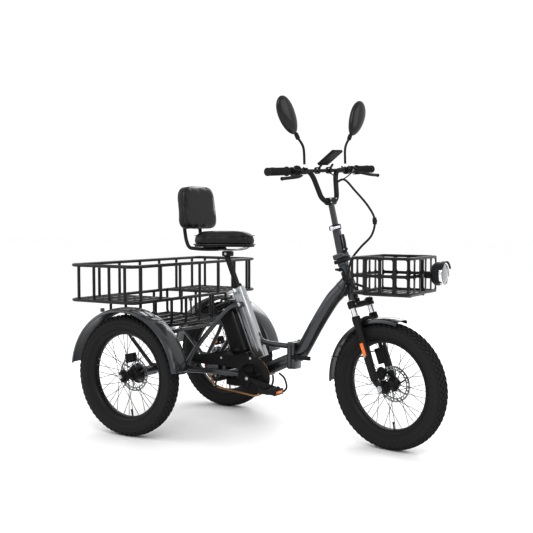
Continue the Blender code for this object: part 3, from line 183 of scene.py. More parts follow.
# ---- finishes -----------------------------------------------------------------------------------
@dataclass(frozen=True)
class Finish:
    """A surface: its colour and shine, and the mottle, grain and dust that break them up.

    Grain and mottle scales are features per metre; grain depth is in metres.
    """

    name: str
    slot: str
    colour: Colour
    roughness: float = 0.45
    metallic: float = 0.0
    coat: float = 0.0
    mottle: float = 0.12
    mottle_scale: float = 14.0
    haze: float = 0.10
    grain_scale: float = 900.0
    grain_depth: float = 0.00006
    grain_strength: float = 0.25
    dust: float = 0.0

    def material(self) -> bpy.types.Material:
        """The finish's material, made at its first use."""
        found = bpy.data.materials.get(self.name)
        if found is not None:
            return found
        graph = Graph(self.name)
        self.dress(graph)
        return graph.material

    def dress(self, graph: Graph) -> None:
        """Sets the shader: mottled colour, hazy roughness and a fine grain."""
        shader = graph.shader.inputs
        broad = graph.noise(self.mottle_scale, 3.0)
        fine = graph.noise(self.mottle_scale * 9.0, 4.0)
        dark = tuple(c * (1.0 - self.mottle) for c in self.colour)
        light = tuple(min(1.0, c * (1.0 + self.mottle) + self.mottle * 0.004) for c in self.colour)
        tone = graph.blend((broad * 0.6 + fine * 0.4).smooth(0.3, 0.7), (*dark, 1.0), (*light, 1.0))
        rough = self.roughness - self.haze / 2 + fine * self.haze
        if self.dust:
            lying = (graph.noise(34.0, 5.0) * 0.7 + fine * 0.3).smooth(0.52, 0.80) * self.dust
            tone = graph.blend(lying, tone, (0.115, 0.108, 0.098, 1.0))
            rough = rough + lying * 0.3
        graph.feed(shader["Base Color"], tone)
        graph.feed(shader["Roughness"], rough)
        shader["Metallic"].default_value = self.metallic
        shader["Coat Weight"].default_value = self.coat
        shader["Coat Roughness"].default_value = 0.08
        shader["Specular IOR Level"].default_value = 0.5 if self.metallic else 0.32
        graph.feed(shader["Normal"], graph.bump(self.relief(graph), self.grain_strength, self.grain_depth))

    def relief(self, graph: Graph) -> Signal:
        """Height of the grain: a fine even noise."""
        return graph.noise(self.grain_scale, 3.0)


@dataclass(frozen=True)
class BrushedFinish(Finish):
    """Metal with fine lines along one axis."""

    lines: tuple[float, float, float] = (60.0, 900.0, 900.0)

    def relief(self, graph: Graph) -> Signal:
        """Height of the brushing: noise drawn out along the lines."""
        return graph.noise(1.0, 2.0, graph.stretched(self.lines))


@dataclass(frozen=True)
class FlakeFinish(Finish):
    """Paint with metal flakes under a clear coat."""

    def relief(self, graph: Graph) -> Signal:
        """Height of the paint: orange peel, with flakes far finer than it."""
        return graph.noise(320.0, 1.0) * 0.8 + graph.cells(2600.0) * 0.2


@dataclass(frozen=True)
class HideFinish(Finish):
    """Vinyl with a pebbled hide grain."""

    def relief(self, graph: Graph) -> Signal:
        """Height of the pebbles: cell walls, and a finer wrinkle between them."""
        return graph.cells(self.grain_scale).smooth(0.05, 0.75) * -1.0 + graph.noise(self.grain_scale * 2.0,
                                                                                     3.0) * 0.35


@dataclass(frozen=True)
class SleeveFinish(Finish):
    """A cable sleeve with a spiral wrap round it."""

    def relief(self, graph: Graph) -> Signal:
        """Height of the wrap: bands up the sleeve."""
        bands = graph.node("ShaderNodeTexWave", {"bands_direction": "Z"},
                           {"Vector": graph.place(), "Scale": self.grain_scale, "Distortion": 1.5}, "Fac")
        return bands


@dataclass(frozen=True)
class LensFinish(Finish):
    """Clear moulded plastic, or a reflector's prisms."""

    see_through: float = 0.0

    def dress(self, graph: Graph) -> None:
        """Sets a clear or coloured shiny surface with moulded cells."""
        shader = graph.shader.inputs
        cells = graph.cells(self.grain_scale)
        dark = tuple(c * 0.72 for c in self.colour)
        graph.feed(shader["Base Color"], graph.blend(cells.smooth(0.1, 0.7), (*self.colour, 1.0),
                                                     (*dark, 1.0)))
        shader["Roughness"].default_value = self.roughness
        shader["Transmission Weight"].default_value = self.see_through
        shader["Coat Weight"].default_value = self.coat
        graph.feed(shader["Normal"], graph.bump(cells, self.grain_strength, self.grain_depth))


class Finishes(Enum):
    """Every finish on the tricycle."""

    FRAME_PAINT = FlakeFinish("frame_paint", "graphite_paint", (0.060, 0.063, 0.069), 0.30, 0.80, 0.9,
                              mottle=0.06,
                              haze=0.05, grain_depth=0.00005, grain_strength=0.10)
    # Graphite paint lightened to silver: a painted highlight for the shine on the gloss seat tube and rail.
    SILVER_PAINT = FlakeFinish("silver_paint", "graphite_paint", (0.42, 0.43, 0.445), 0.30, 0.85, 0.6,
                               mottle=0.05,
                               haze=0.06, grain_depth=0.00005, grain_strength=0.10)
    BLACK_PAINT = Finish("black_paint", "black_paint", (0.008, 0.008, 0.009), 0.30, 0.0, 0.45, haze=0.08,
                         grain_scale=700.0, grain_strength=0.16)
    SATIN_BLACK = Finish("satin_black", "black_paint", (0.011, 0.011, 0.012), 0.44, 0.0, haze=0.10,
                         grain_scale=1100.0, grain_strength=0.30)
    BASKET_COAT = Finish("basket_coat", "black_paint", (0.008, 0.008, 0.009), 0.34, 0.0, 0.35, haze=0.10,
                         grain_scale=800.0, grain_strength=0.20)
    MOULDED = Finish("moulded_plastic", "black_plastic", (0.012, 0.012, 0.013), 0.46, haze=0.12,
                     grain_scale=1500.0, grain_depth=0.00010, grain_strength=0.45)
    CASE_PLASTIC = Finish("battery_case", "black_plastic", (0.009, 0.009, 0.010), 0.30, coat=0.4, haze=0.10,
                          grain_scale=1700.0, grain_strength=0.25)
    TYRE_RUBBER = Finish("tyre_rubber", "tyre_rubber", (0.016, 0.016, 0.017), 0.70, haze=0.16, mottle=0.25,
                         grain_scale=1300.0, grain_depth=0.00015, grain_strength=0.5, dust=0.22)
    GRIP_RUBBER = Finish("grip_rubber", "grip_rubber", (0.020, 0.020, 0.021), 0.66, haze=0.14, mottle=0.2,
                         grain_scale=1600.0, grain_depth=0.00012, grain_strength=0.5)
    SLEEVE = SleeveFinish("cable_sleeve", "black_plastic", (0.020, 0.020, 0.021), 0.52, grain_scale=45.0,
                          grain_depth=0.0006, grain_strength=0.7)
    VINYL = HideFinish("seat_vinyl", "vinyl", (0.012, 0.012, 0.013), 0.36, coat=0.2, haze=0.12, mottle=0.18,
                       grain_scale=620.0, grain_depth=0.00022, grain_strength=0.32)
    SEAT_TRIM = Finish("seat_side_vinyl", "vinyl", (0.012, 0.012, 0.013), 0.16, coat=0.7, haze=0.06,
                       grain_scale=500.0, grain_strength=0.06)
    THREAD = Finish("stitching", "vinyl", (0.035, 0.035, 0.037), 0.8, grain_scale=4000.0)
    CHROME = Finish("chrome", "chrome", (0.82, 0.83, 0.85), 0.09, 1.0, mottle=0.02, haze=0.04,
                    grain_strength=0.02)
    STEEL = BrushedFinish("machined_steel", "steel", (0.60, 0.61, 0.63), 0.30, 1.0, mottle=0.08, haze=0.12,
                          grain_strength=0.18)
    ROTOR_STEEL = BrushedFinish("rotor_steel", "steel", (0.34, 0.345, 0.355), 0.34, 1.0, mottle=0.10,
                                haze=0.14,
                                grain_strength=0.2)
    ALLOY = BrushedFinish("alloy", "steel", (0.72, 0.73, 0.75), 0.32, 1.0, mottle=0.06, haze=0.10,
                          grain_strength=0.15)
    COPPER_CHAIN = Finish("copper_chain", "copper_chain", (0.42, 0.24, 0.12), 0.36, 0.95, mottle=0.3,
                          mottle_scale=120.0, haze=0.2)
    GLASS = LensFinish("lamp_lens", "lamp_glass", (0.90, 0.92, 0.94), 0.03, coat=1.0, see_through=0.75,
                       grain_scale=160.0, grain_strength=0.04, grain_depth=0.0001)
    LED = LensFinish("lamp_chip", "lamp_glass", (0.95, 0.93, 0.80), 0.20, coat=0.5, grain_scale=700.0)
    AMBER = LensFinish("amber_reflector", "lamp_glass", (0.95, 0.22, 0.01), 0.12, coat=1.0, grain_scale=520.0,
                       grain_strength=0.5, grain_depth=0.0006)
    RED = LensFinish("red_reflector", "lamp_glass", (0.55, 0.012, 0.010), 0.12, coat=1.0, grain_scale=520.0,
                     grain_strength=0.5, grain_depth=0.0006)
    MIRROR = Finish("mirror_glass", "chrome", (0.86, 0.88, 0.90), 0.03, 1.0, mottle=0.01, haze=0.01,
                    grain_strength=0.0)
    SCREEN = Finish("display_glass", "black_plastic", (0.008, 0.010, 0.014), 0.06, coat=1.0, haze=0.03,
                    grain_strength=0.02)


# ---- layout -------------------------------------------------------------------------------------
class Heading(Enum):
    """Whether a piece is built where it stands, or straight ahead and then steered."""

    FIXED = "fixed"
    STEERED = "steered"


class Layout:
    """Where design coordinates lie in the frame, from the frame's own nodes and joints."""

    def __init__(self) -> None:
        """Measures the rear axle, the steering axis and the angle that the frame rests at."""
        self.joints = {joint["name"]: joint for joint in frame["joints"]}
        axle = self.world("rear_wheel_right_spin")
        self.shift = Vector((axle.x, 0.0, 0.0))
        steer = self.joints["steer"]
        self.head_axis = Vector(steer["axis"]).normalized()
        self.head_mid = Vector(steer["pos_m"]) - self.shift
        spin = Vector(self.joints["front_wheel_spin"]["axis"])
        side = SIDE - self.head_axis * SIDE.dot(self.head_axis)
        turn = math.atan2(self.head_axis.dot(side.cross(spin)), side.dot(spin))
        self.turn = Matrix.Translation(self.head_mid) @ Matrix.Rotation(turn, 4, self.head_axis)
        self.turn = self.turn @ Matrix.Translation(-self.head_mid)

    def world(self, joint: str) -> Vector:
        """A joint's point in the frame's coordinates."""
        return Vector(self.joints[joint]["pos_m"])

    def at(self, joint: str, heading: Heading = Heading.FIXED) -> Vector:
        """A joint's point in design coordinates."""
        point = self.world(joint) - self.shift
        return self.turn.inverted() @ point if heading is Heading.STEERED else point

    def axis(self, joint: str, heading: Heading = Heading.FIXED) -> Vector:
        """A joint's axis in design coordinates."""
        axis = Vector(self.joints[joint]["axis"])
        if heading is Heading.STEERED:
            axis = self.turn.inverted().to_3x3() @ axis
        return axis.normalized()

    def box(self, node: str) -> tuple[Vector, Vector]:
        """A CAD node's box in design coordinates, for a node that isn't steered."""
        low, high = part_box(node)
        return low - self.shift, high - self.shift

    def middle(self, node: str, heading: Heading) -> Vector:
        """The middle of a CAD node's box in design coordinates."""
        low, high = self.box(node)
        point = (low + high) / 2
        return self.turn.inverted() @ point if heading is Heading.STEERED else point

    def matrix(self, heading: Heading) -> Matrix:
        """From design coordinates to the frame's."""
        move = Matrix.Translation(self.shift)
        return move @ self.turn if heading is Heading.STEERED else move


LAYOUT = Layout()


def basis(origin: Vector, along: Vector, across: Vector = SIDE) -> Matrix:
    """Local Z along the given direction and local Y as near as it can be to the second one."""
    z = Vector(along).normalized()
    x = Vector(across).cross(z)
    x = x.normalized() if x.length > 1e-6 else AHEAD
    y = z.cross(x)
    turn = Matrix((x, y, z)).transposed().to_4x4()
    return Matrix.Translation(origin) @ turn


def arc(x: float, z: float, radius: float, angles: Iterable[float]) -> list[tuple[float, float]]:
    """Points round (x, z) at a distance from it, at angles in degrees."""
    return [(x + radius * math.cos(math.radians(a)), z + radius * math.sin(math.radians(a))) for a in angles]


def leaned(degrees: float) -> Vector:
    """The upward direction leaned back by an angle."""
    return Vector((-math.sin(math.radians(degrees)), 0.0, math.cos(math.radians(degrees))))


def rounded(points: Iterable[Sequence[float]], radius: float, steps: int = 5,
            closed: bool = False) -> list[Vector]:
    """A route whose corners are rounded.

    Args:
        points: the route's corners.
        radius: how far from a corner its curve starts, less where a run is short.
        steps: points on each curve, less one.
        closed: whether the last corner leads back to the first.

    Returns:
        The route's points.
    """
    corners = [Vector(point) for point in points]
    count = len(corners)
    route = [] if closed else [corners[0]]
    for number in range(0 if closed else 1, count if closed else count - 1):
        before, here, after = corners[number - 1], corners[number], corners[(number + 1) % count]
        reach = min(radius, (before - here).length * 0.48, (after - here).length * 0.48)
        start = here + (before - here).normalized() * reach
        end = here + (after - here).normalized() * reach
        for step in range(steps + 1):
            t = step / steps
            route.append(start * (1 - t) ** 2 + here * (2 * t * (1 - t)) + end * t ** 2)
    return route if closed else route + [corners[-1]]


def flowing(points: Iterable[Sequence[float]], steps: int = 6) -> list[Vector]:
    """Points along a smooth curve through the given ones."""
    knots = [Vector(point) for point in points]
    padded = [2 * knots[0] - knots[1], *knots, 2 * knots[-1] - knots[-2]]
    route = []
    for before, start, end, after in zip(padded, padded[1:], padded[2:], padded[3:]):
        for step in range(steps):
            t = step / steps
            route.append(0.5 * (2 * start + (end - before) * t
                                + (2 * before - 5 * start + 4 * end - after) * t * t
                                + (3 * start - before - 3 * end + after) * t ** 3))
    return [*route, knots[-1]]


# ---- shapes -------------------------------------------------------------------------------------
class Form:
    """A piece in the making: solids gathered in one bmesh, in design coordinates."""

    def __init__(self) -> None:
        """Starts empty."""
        self.mesh = bmesh.new()

    def absorb(self, solid: bmesh.types.BMesh, matrix: Matrix | None = None) -> "Form":
        """Adds a solid, placed by a matrix, and frees it."""
        if matrix is not None:
            bmesh.ops.transform(solid, matrix=matrix, verts=solid.verts)
        carrier = bpy.data.meshes.new("carrier")
        solid.to_mesh(carrier)
        solid.free()
        self.mesh.from_mesh(carrier)
        bpy.data.meshes.remove(carrier)
        return self

    def box(self, centre: Sequence[float], size: Sequence[float], along: Vector = UP, bevel: float = 0.0,
            segments: int = 3, across: Vector = SIDE) -> "Form":
        """Adds a block with softened edges, its local Z along a direction."""
        solid = bmesh.new()
        bmesh.ops.create_cube(solid, size=1.0)
        bmesh.ops.scale(solid, vec=size, verts=solid.verts)
        soften(solid, bevel, segments)
        return self.absorb(solid, basis(Vector(centre), along, across))

    def rod(self, start: Sequence[float], end: Sequence[float], radius: float,
            end_radius: float | None = None,
            sides: int = 24, bevel: float = 0.0) -> "Form":
        """Adds a round bar between two points, tapered if it has an end radius."""
        start, end = Vector(start), Vector(end)
        solid = bmesh.new()
        bmesh.ops.create_cone(solid, cap_ends=True, segments=sides, radius1=radius,
                              radius2=radius if end_radius is None else end_radius, depth=(end - start).length)
        soften(solid, bevel, 2, math.radians(50.0))
        return self.absorb(solid, basis((start + end) / 2, end - start))

    def ball(self, centre: Sequence[float], radii: Sequence[float], turn: Matrix | None = None,
             detail: int = 24) -> "Form":
        """Adds an ellipsoid."""
        solid = bmesh.new()
        bmesh.ops.create_uvsphere(solid, u_segments=detail, v_segments=detail // 2, radius=1.0)
        bmesh.ops.scale(solid, vec=radii, verts=solid.verts)
        return self.absorb(solid, Matrix.Translation(Vector(centre)) @ (turn or Matrix.Identity(4)))

    def turned(self, profile: Profile, origin: Sequence[float], along: Vector, sides: int = 64,
               ring: bool = False) -> "Form":
        """Adds a profile of (distance, radius) points spun about an axis; a ring's profile closes on itself."""
        solid = bmesh.new()
        corners = [solid.verts.new((radius, 0.0, distance)) for distance, radius in profile]
        pairs = zip(corners, corners[1:] + corners[:1]) if ring else zip(corners, corners[1:])
        edges = [solid.edges.new(pair) for pair in pairs]
        bmesh.ops.spin(solid, geom=corners + edges, cent=(0.0, 0.0, 0.0), axis=(0.0, 0.0, 1.0),
                       angle=math.tau, steps=sides, use_merge=True)
        bmesh.ops.remove_doubles(solid, verts=solid.verts, dist=1e-6)
        bmesh.ops.holes_fill(solid, edges=[edge for edge in solid.edges if edge.is_boundary], sides=0)
        bmesh.ops.recalc_face_normals(solid, faces=solid.faces)
        return self.absorb(solid, basis(Vector(origin), along))

    def tube(self, route: Iterable[Sequence[float]], radius: float, roundness: int = 4,
             closed: bool = False, squash: float = 1.0) -> "Form":
        """Adds a round bar along a route.

        Args:
            route: its points, with corners already rounded.
            radius: the bar's radius.
            roundness: the bevel resolution, more for a rounder bar.
            closed: whether the bar joins its own start.
            squash: the share of its depth that an oval bar keeps across the vehicle.
        """
        points = [Vector(point) for point in route]
        curve = bpy.data.curves.new("route", "CURVE")
        curve.dimensions = "3D"
        curve.bevel_depth = radius
        curve.bevel_resolution = roundness
        curve.use_fill_caps = True
        spline = curve.splines.new("POLY")
        spline.points.add(len(points) - 1)
        for knot, point in zip(spline.points, points):
            knot.co = (*point, 1.0)
        spline.use_cyclic_u = closed
        holder = bpy.data.objects.new("route", curve)
        carrier = bpy.data.meshes.new_from_object(holder)
        solid = bmesh.new()
        solid.from_mesh(carrier)
        bmesh.ops.remove_doubles(solid, verts=solid.verts, dist=1e-6)
        if squash != 1.0:
            bmesh.ops.scale(solid, vec=(1.0, squash, 1.0), verts=solid.verts)
        bmesh.ops.recalc_face_normals(solid, faces=solid.faces)
        bpy.data.objects.remove(holder)
        bpy.data.curves.remove(curve)
        bpy.data.meshes.remove(carrier)
        return self.absorb(solid)

    def plate(self, outline: Iterable[Sequence[float]], origin: Sequence[float], along: Vector,
              thickness: float,
              bevel: float = 0.0, across: Vector = SIDE) -> "Form":
        """Adds a flat outline of local (X, Y) points, as thick as given about its origin along an axis."""
        solid = bmesh.new()
        face = solid.faces.new([solid.verts.new((x, y, -thickness / 2)) for x, y in outline])
        made = bmesh.ops.extrude_face_region(solid, geom=[face])
        lifted = [item for item in made["geom"] if isinstance(item, bmesh.types.BMVert)]
        bmesh.ops.translate(solid, vec=(0.0, 0.0, thickness), verts=lifted)
        bmesh.ops.recalc_face_normals(solid, faces=solid.faces)
        soften(solid, bevel, 2, math.radians(60.0))
        return self.absorb(solid, basis(Vector(origin), along, across))

    def repeat(self, count: int, centre: Sequence[float], axis: Vector, turn: float = math.tau) -> "Form":
        """Repeats what is in the form round an axis, so that there are that many of it in the turn."""
        bmesh.ops.spin(self.mesh, geom=self.mesh.verts[:] + self.mesh.edges[:] + self.mesh.faces[:],
                       cent=centre, axis=axis, angle=turn * (count - 1) / count, steps=count - 1,
                       use_duplicate=True)
        return self

    def bolt(self, at: Sequence[float], along: Vector, radius: float = 0.005, height: float = 0.004,
             sides: int = 6) -> "Form":
        """Adds a bolt head on a washer."""
        at, along = Vector(at), Vector(along).normalized()
        self.rod(at, at + along * height * 0.3, radius * 1.35, sides=18)
        return self.rod(at + along * height * 0.3, at + along * height, radius, sides=sides,
                        bevel=radius * 0.12)

    def piece(self, name: str, finish: Finishes, body: str, replaces: Sequence[str] = (),
              heading: Heading = Heading.FIXED, crease: float = 32.0) -> bpy.types.Object:
        """Makes the form an object that rides on a body.

        Args:
            name: the piece's name.
            finish: its surface.
            body: the CAD body that it rides on.
            replaces: the CAD nodes that it stands for.
            heading: whether it is steered with the front wheel.
            crease: the angle in degrees over which an edge stays sharp.

        Returns:
            The finished object, at the origin.
        """
        bmesh.ops.transform(self.mesh, matrix=LAYOUT.matrix(heading), verts=self.mesh.verts)
        mesh = bpy.data.meshes.new(name)
        self.mesh.to_mesh(mesh)
        self.mesh.free()
        mesh.materials.append(finish.value.material())
        mesh.shade_smooth()
        mesh.set_sharp_from_angle(angle=math.radians(crease))
        thing = bpy.data.objects.new(name, mesh)
        bpy.context.scene.collection.objects.link(thing)
        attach(thing, body)
        if replaces:
            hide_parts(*replaces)
        log.info("%s: %d faces on %s", name, len(mesh.polygons), body)
        return thing


def soften(solid: bmesh.types.BMesh, width: float, segments: int = 2,
           angle: float = math.radians(30.0)) -> None:
    """Bevels the edges that are sharper than an angle."""
    if width <= 0.0:
        return
    sharp = [edge for edge in solid.edges if edge.is_manifold and edge.calc_face_angle() > angle]
    bmesh.ops.bevel(solid, geom=sharp, offset=width, segments=segments, profile=0.5, affect="EDGES",
                    material=-1, clamp_overlap=True)


# ---- wheels -------------------------------------------------------------------------------------
@dataclass
class Wheel:
    """A wheel: tyre with its tread, rim, laced spokes, hub, brake rotor and valve."""

    prefix: str
    suffix: str
    body: str
    joint: str
    inboard: float
    shaft: float
    heading: Heading = Heading.FIXED
    tyre_radius: float = 0.276
    tyre_half: float = 0.038
    rim_inner: float = 0.188
    flange_radius: float = 0.0295
    flange_half: float = 0.031
    spoke_radius: float = 0.0012
    rotor_offset: float = 0.042
    rotor_radius: float = 0.080
    lug_count: int = 64
    centre: Vector = field(init=False)

    def __post_init__(self) -> None:
        """Takes the wheel's centre from its joint."""
        self.centre = LAYOUT.at(self.joint, self.heading)

    def node(self, part: str) -> str:
        """The name of this wheel's CAD node for a part."""
        return f"{self.prefix}_{part}{self.suffix}"

    def spot(self, angle: float, radius: float, across: float) -> Vector:
        """A point on the wheel by its angle, its distance from the axle and its place across the wheel."""
        return self.centre + Vector((math.cos(angle) * radius, across, math.sin(angle) * radius))

    def carcass(self) -> list[tuple[float, float]]:
        """The tyre's outer section, from bead to bead."""
        half = [(self.tyre_half * a, self.tyre_radius - drop) for a, drop in
                ((0.62, 0.0725), (0.70, 0.064), (0.90, 0.052), (1.0, 0.038), (0.97, 0.026), (0.85, 0.0155),
                 (0.60, 0.0085), (0.30, 0.0055))]
        knots = [(-a, r, 0.0) for a, r in half] + [(0.0, self.tyre_radius - 0.0048, 0.0)]
        knots += [(a, r, 0.0) for a, r in reversed(half)]
        return [(point.x, point.y) for point in flowing(knots, 3)]

    def tyre(self) -> None:
        """The tyre: carcass, rows of tread blocks, shoulder lugs and side ribs."""
        form = Form().turned(self.carcass(), self.centre, SIDE, sides=96, ring=True)
        step = math.tau / self.lug_count
        top = self.tyre_radius - 0.0032
        rows = [(0.0060, 0.0, top, 0.10, (0.0150, 0.0085, 0.0075)),
                (0.0165, 0.5, top - 0.0018, 0.30, (0.0125, 0.0080, 0.0080)),
                (0.0265, 0.0, top - 0.0062, 0.62, (0.0140, 0.0080, 0.0085)),
                (0.0334, 0.5, top - 0.0135, 1.05, (0.0085, 0.0090, 0.0065))]
        for side in (-1, 1):
            for across, phase, radius, lean, size in rows:
                block = Form()
                angle = (phase + (0.25 if side > 0 else 0.0)) * step
                outward = Vector((math.cos(angle), 0.0, math.sin(angle)))
                along = outward * math.cos(lean) + SIDE * (side * math.sin(lean))
                block.box(self.spot(angle, radius, side * across), size, along, bevel=0.0008, segments=1)
                form.absorb(block.repeat(self.lug_count, self.centre, SIDE).mesh)
            rib = Form()
            along = AHEAD * math.cos(0.35) * -1.0 + SIDE * (side * math.sin(0.35))
            rib.box(self.spot(0.0, self.tyre_radius - 0.033, side * (self.tyre_half - 0.0004)),
                    (0.0030, 0.0016, 0.0150), along)
            form.absorb(rib.repeat(self.lug_count * 2, self.centre, SIDE).mesh)
            for radius, across in ((0.223, 0.0338), (0.2155, 0.0290)):
                form.turned(ring_section(side * across, radius, 0.0011), self.centre, SIDE, sides=96,
                            ring=True)
        form.piece(f"{self.node('tyre')}_tread", Finishes.TYRE_RUBBER, self.body, [self.node("tyre")],
                   self.heading)

    def rim(self) -> None:
        """The rim with its hooked edges, and its valve."""
        half = [(0.0105, 0.0), (0.0165, 0.0030), (0.0225, 0.0085), (0.0262, 0.0135), (0.0272, 0.0200),
                (0.0252, 0.0205), (0.0240, 0.0165), (0.0215, 0.0150)]
        section = [(-a, self.rim_inner + rise) for a, rise in reversed(half)]
        section += [(a, self.rim_inner + rise) for a, rise in half]
        Form().turned(section, self.centre, SIDE, sides=96, ring=True).piece(
            f"{self.node('rim')}_hooked", Finishes.BLACK_PAINT, self.body, [self.node("rim")], self.heading)
        valve = Form()
        low, high = self.spot(-1.45, self.rim_inner - 0.030, 0.0), self.spot(-1.45, self.rim_inner + 0.002,
                                                                             0.0)
        valve.rod(high, low, 0.0030, sides=12).rod(low.lerp(high, 0.25), low - (high - low) * 0.06, 0.0040,
                                                   sides=12,
                                                  bevel=0.0006)
        valve.piece(f"{self.node('valve')}", Finishes.MOULDED, self.body, heading=self.heading)

    def spokes(self) -> None:
        """Thirty-six laced spokes, nine for each flange and direction, and their nipples."""
        laced, nipples = Form(), Form()
        number = 0
        for side in (-1, 1):
            for lean in (-1, 1):
                angle = math.radians(10.0 * number)
                number += 1
                root = self.spot(angle - lean * math.radians(62.0), self.flange_radius - 0.0025,
                                 side * (self.flange_half + 0.0008 * lean))
                tip = self.spot(angle, self.rim_inner + 0.0005, side * 0.0045)
                one = Form().rod(root, tip, self.spoke_radius, sides=7)
                laced.absorb(one.repeat(9, self.centre, SIDE).mesh)
                one = Form().rod(root.lerp(tip, 0.935), tip, 0.0021, sides=8)
                nipples.absorb(one.repeat(9, self.centre, SIDE).mesh)
        laced.piece(self.node("spokes"), Finishes.SATIN_BLACK, self.body, heading=self.heading)
        nipples.piece(self.node("nipples"), Finishes.ALLOY, self.body, heading=self.heading)

    def hub(self) -> None:
        """The hub shell with flanges and end caps, its axle and the rotor's carrier."""
        wide, flange = self.flange_half, self.flange_radius
        half = [(0.0, 0.0185), (0.010, 0.0185), (0.020, 0.0200), (wide - 0.004, 0.0245),
                (wide - 0.002, flange - 0.001),
                (wide, flange), (wide + 0.002, flange - 0.001), (wide + 0.003, 0.0215), (0.0395, 0.0190)]
        shell = [(-a, r) for a, r in reversed(half)] + half[1:]
        form = Form().turned(shell, self.centre, SIDE, sides=48)
        outer = -self.inboard
        cap = [(0.0390, 0.0190), (0.0440, 0.0185), (0.0490, 0.0150), (0.0505, 0.0090)]
        form.turned(cap, self.centre, SIDE * outer, sides=40)
        carrier = [(0.0380, 0.0180), (self.rotor_offset - 0.001, 0.0235), (self.rotor_offset + 0.002, 0.0235),
                   (0.0480, 0.0150)]
        form.turned(carrier, self.centre, SIDE * self.inboard, sides=40)
        form.piece(f"{self.node('hub')}_shell", Finishes.BLACK_PAINT, self.body, [self.node("hub")],
                   self.heading)
        axle = Form()
        near = self.centre + SIDE * (self.inboard * 0.046)
        axle.rod(near, self.centre + SIDE * (self.inboard * self.shaft),
                 0.0092 if self.shaft > 0.1 else 0.006)
        tip = self.centre + SIDE * (outer * 0.050)
        axle.rod(tip, tip + SIDE * (outer * 0.0065), 0.0098, sides=6, bevel=0.0006)
        axle.rod(tip, tip + SIDE * (outer * 0.0100), 0.0050, sides=18, bevel=0.0006)
        axle.piece(self.node("axle"), Finishes.STEEL, self.body, heading=self.heading)

    def rotor(self) -> None:
        """The brake rotor: a pierced band on six arms, with its bolts."""
        face = self.centre + SIDE * (self.inboard * self.rotor_offset)
        form = pierced_ring((0.0615, 0.0665, 0.0725, self.rotor_radius), 72, 0.0018, basis(face, SIDE))
        for number in range(6):
            angle = number * math.tau / 6
            root = face + Vector((math.cos(angle), 0.0, math.sin(angle))) * 0.0185
            tip = face + Vector((math.cos(angle + 0.42), 0.0, math.sin(angle + 0.42))) * 0.0630
            form.box((root + tip) / 2, (0.0070, 0.0017, (tip - root).length), tip - root)
        form.piece(self.node("rotor"), Finishes.ROTOR_STEEL, self.body, heading=self.heading, crease=20.0)
        bolts = Form().bolt(face + AHEAD * 0.0165 + SIDE * (self.inboard * 0.0015), SIDE * self.inboard,
                            0.0025, 0.003)
        bolts.repeat(6, self.centre, SIDE)
        bolts.piece(self.node("rotor_bolts"), Finishes.STEEL, self.body, heading=self.heading)

    def build(self) -> None:
        """Makes the whole wheel."""
        self.tyre()
        self.rim()
        self.spokes()
        self.hub()
        self.rotor()


def ring_section(across: float, radius: float, size: float) -> list[tuple[float, float]]:
    """A small round section for a moulded line round a tyre."""
    return [(across + size * math.cos(step * math.tau / 8), radius + size * math.sin(step * math.tau / 8))
            for step in range(8)]


def pierced_ring(radii: Sequence[float], sectors: int, thickness: float, place: Matrix) -> Form:
    """A flat ring whose middle band has a slot in two of every three sectors, staggered by band."""
    solid = bmesh.new()
    line = [solid.verts.new((radius, 0.0, 0.0)) for radius in radii]
    edges = [solid.edges.new(pair) for pair in zip(line, line[1:])]
    bmesh.ops.spin(solid, geom=line + edges, cent=(0.0, 0.0, 0.0), axis=(0.0, 0.0, 1.0), angle=math.tau,
                   steps=sectors, use_merge=True)
    bmesh.ops.remove_doubles(solid, verts=solid.verts, dist=1e-6)
    doomed = []
    for face in solid.faces:
        middle = face.calc_center_median()
        sector = int(math.atan2(middle.y, middle.x) / math.tau * sectors + sectors * 2) % sectors
        if radii[1] < middle.xy.length < radii[2] and sector % 3:
            doomed.append(face)
    bmesh.ops.delete(solid, geom=doomed, context="FACES")
    bmesh.ops.recalc_face_normals(solid, faces=solid.faces)
    bmesh.ops.solidify(solid, geom=solid.faces[:], thickness=thickness)
    return Form().absorb(solid, place)


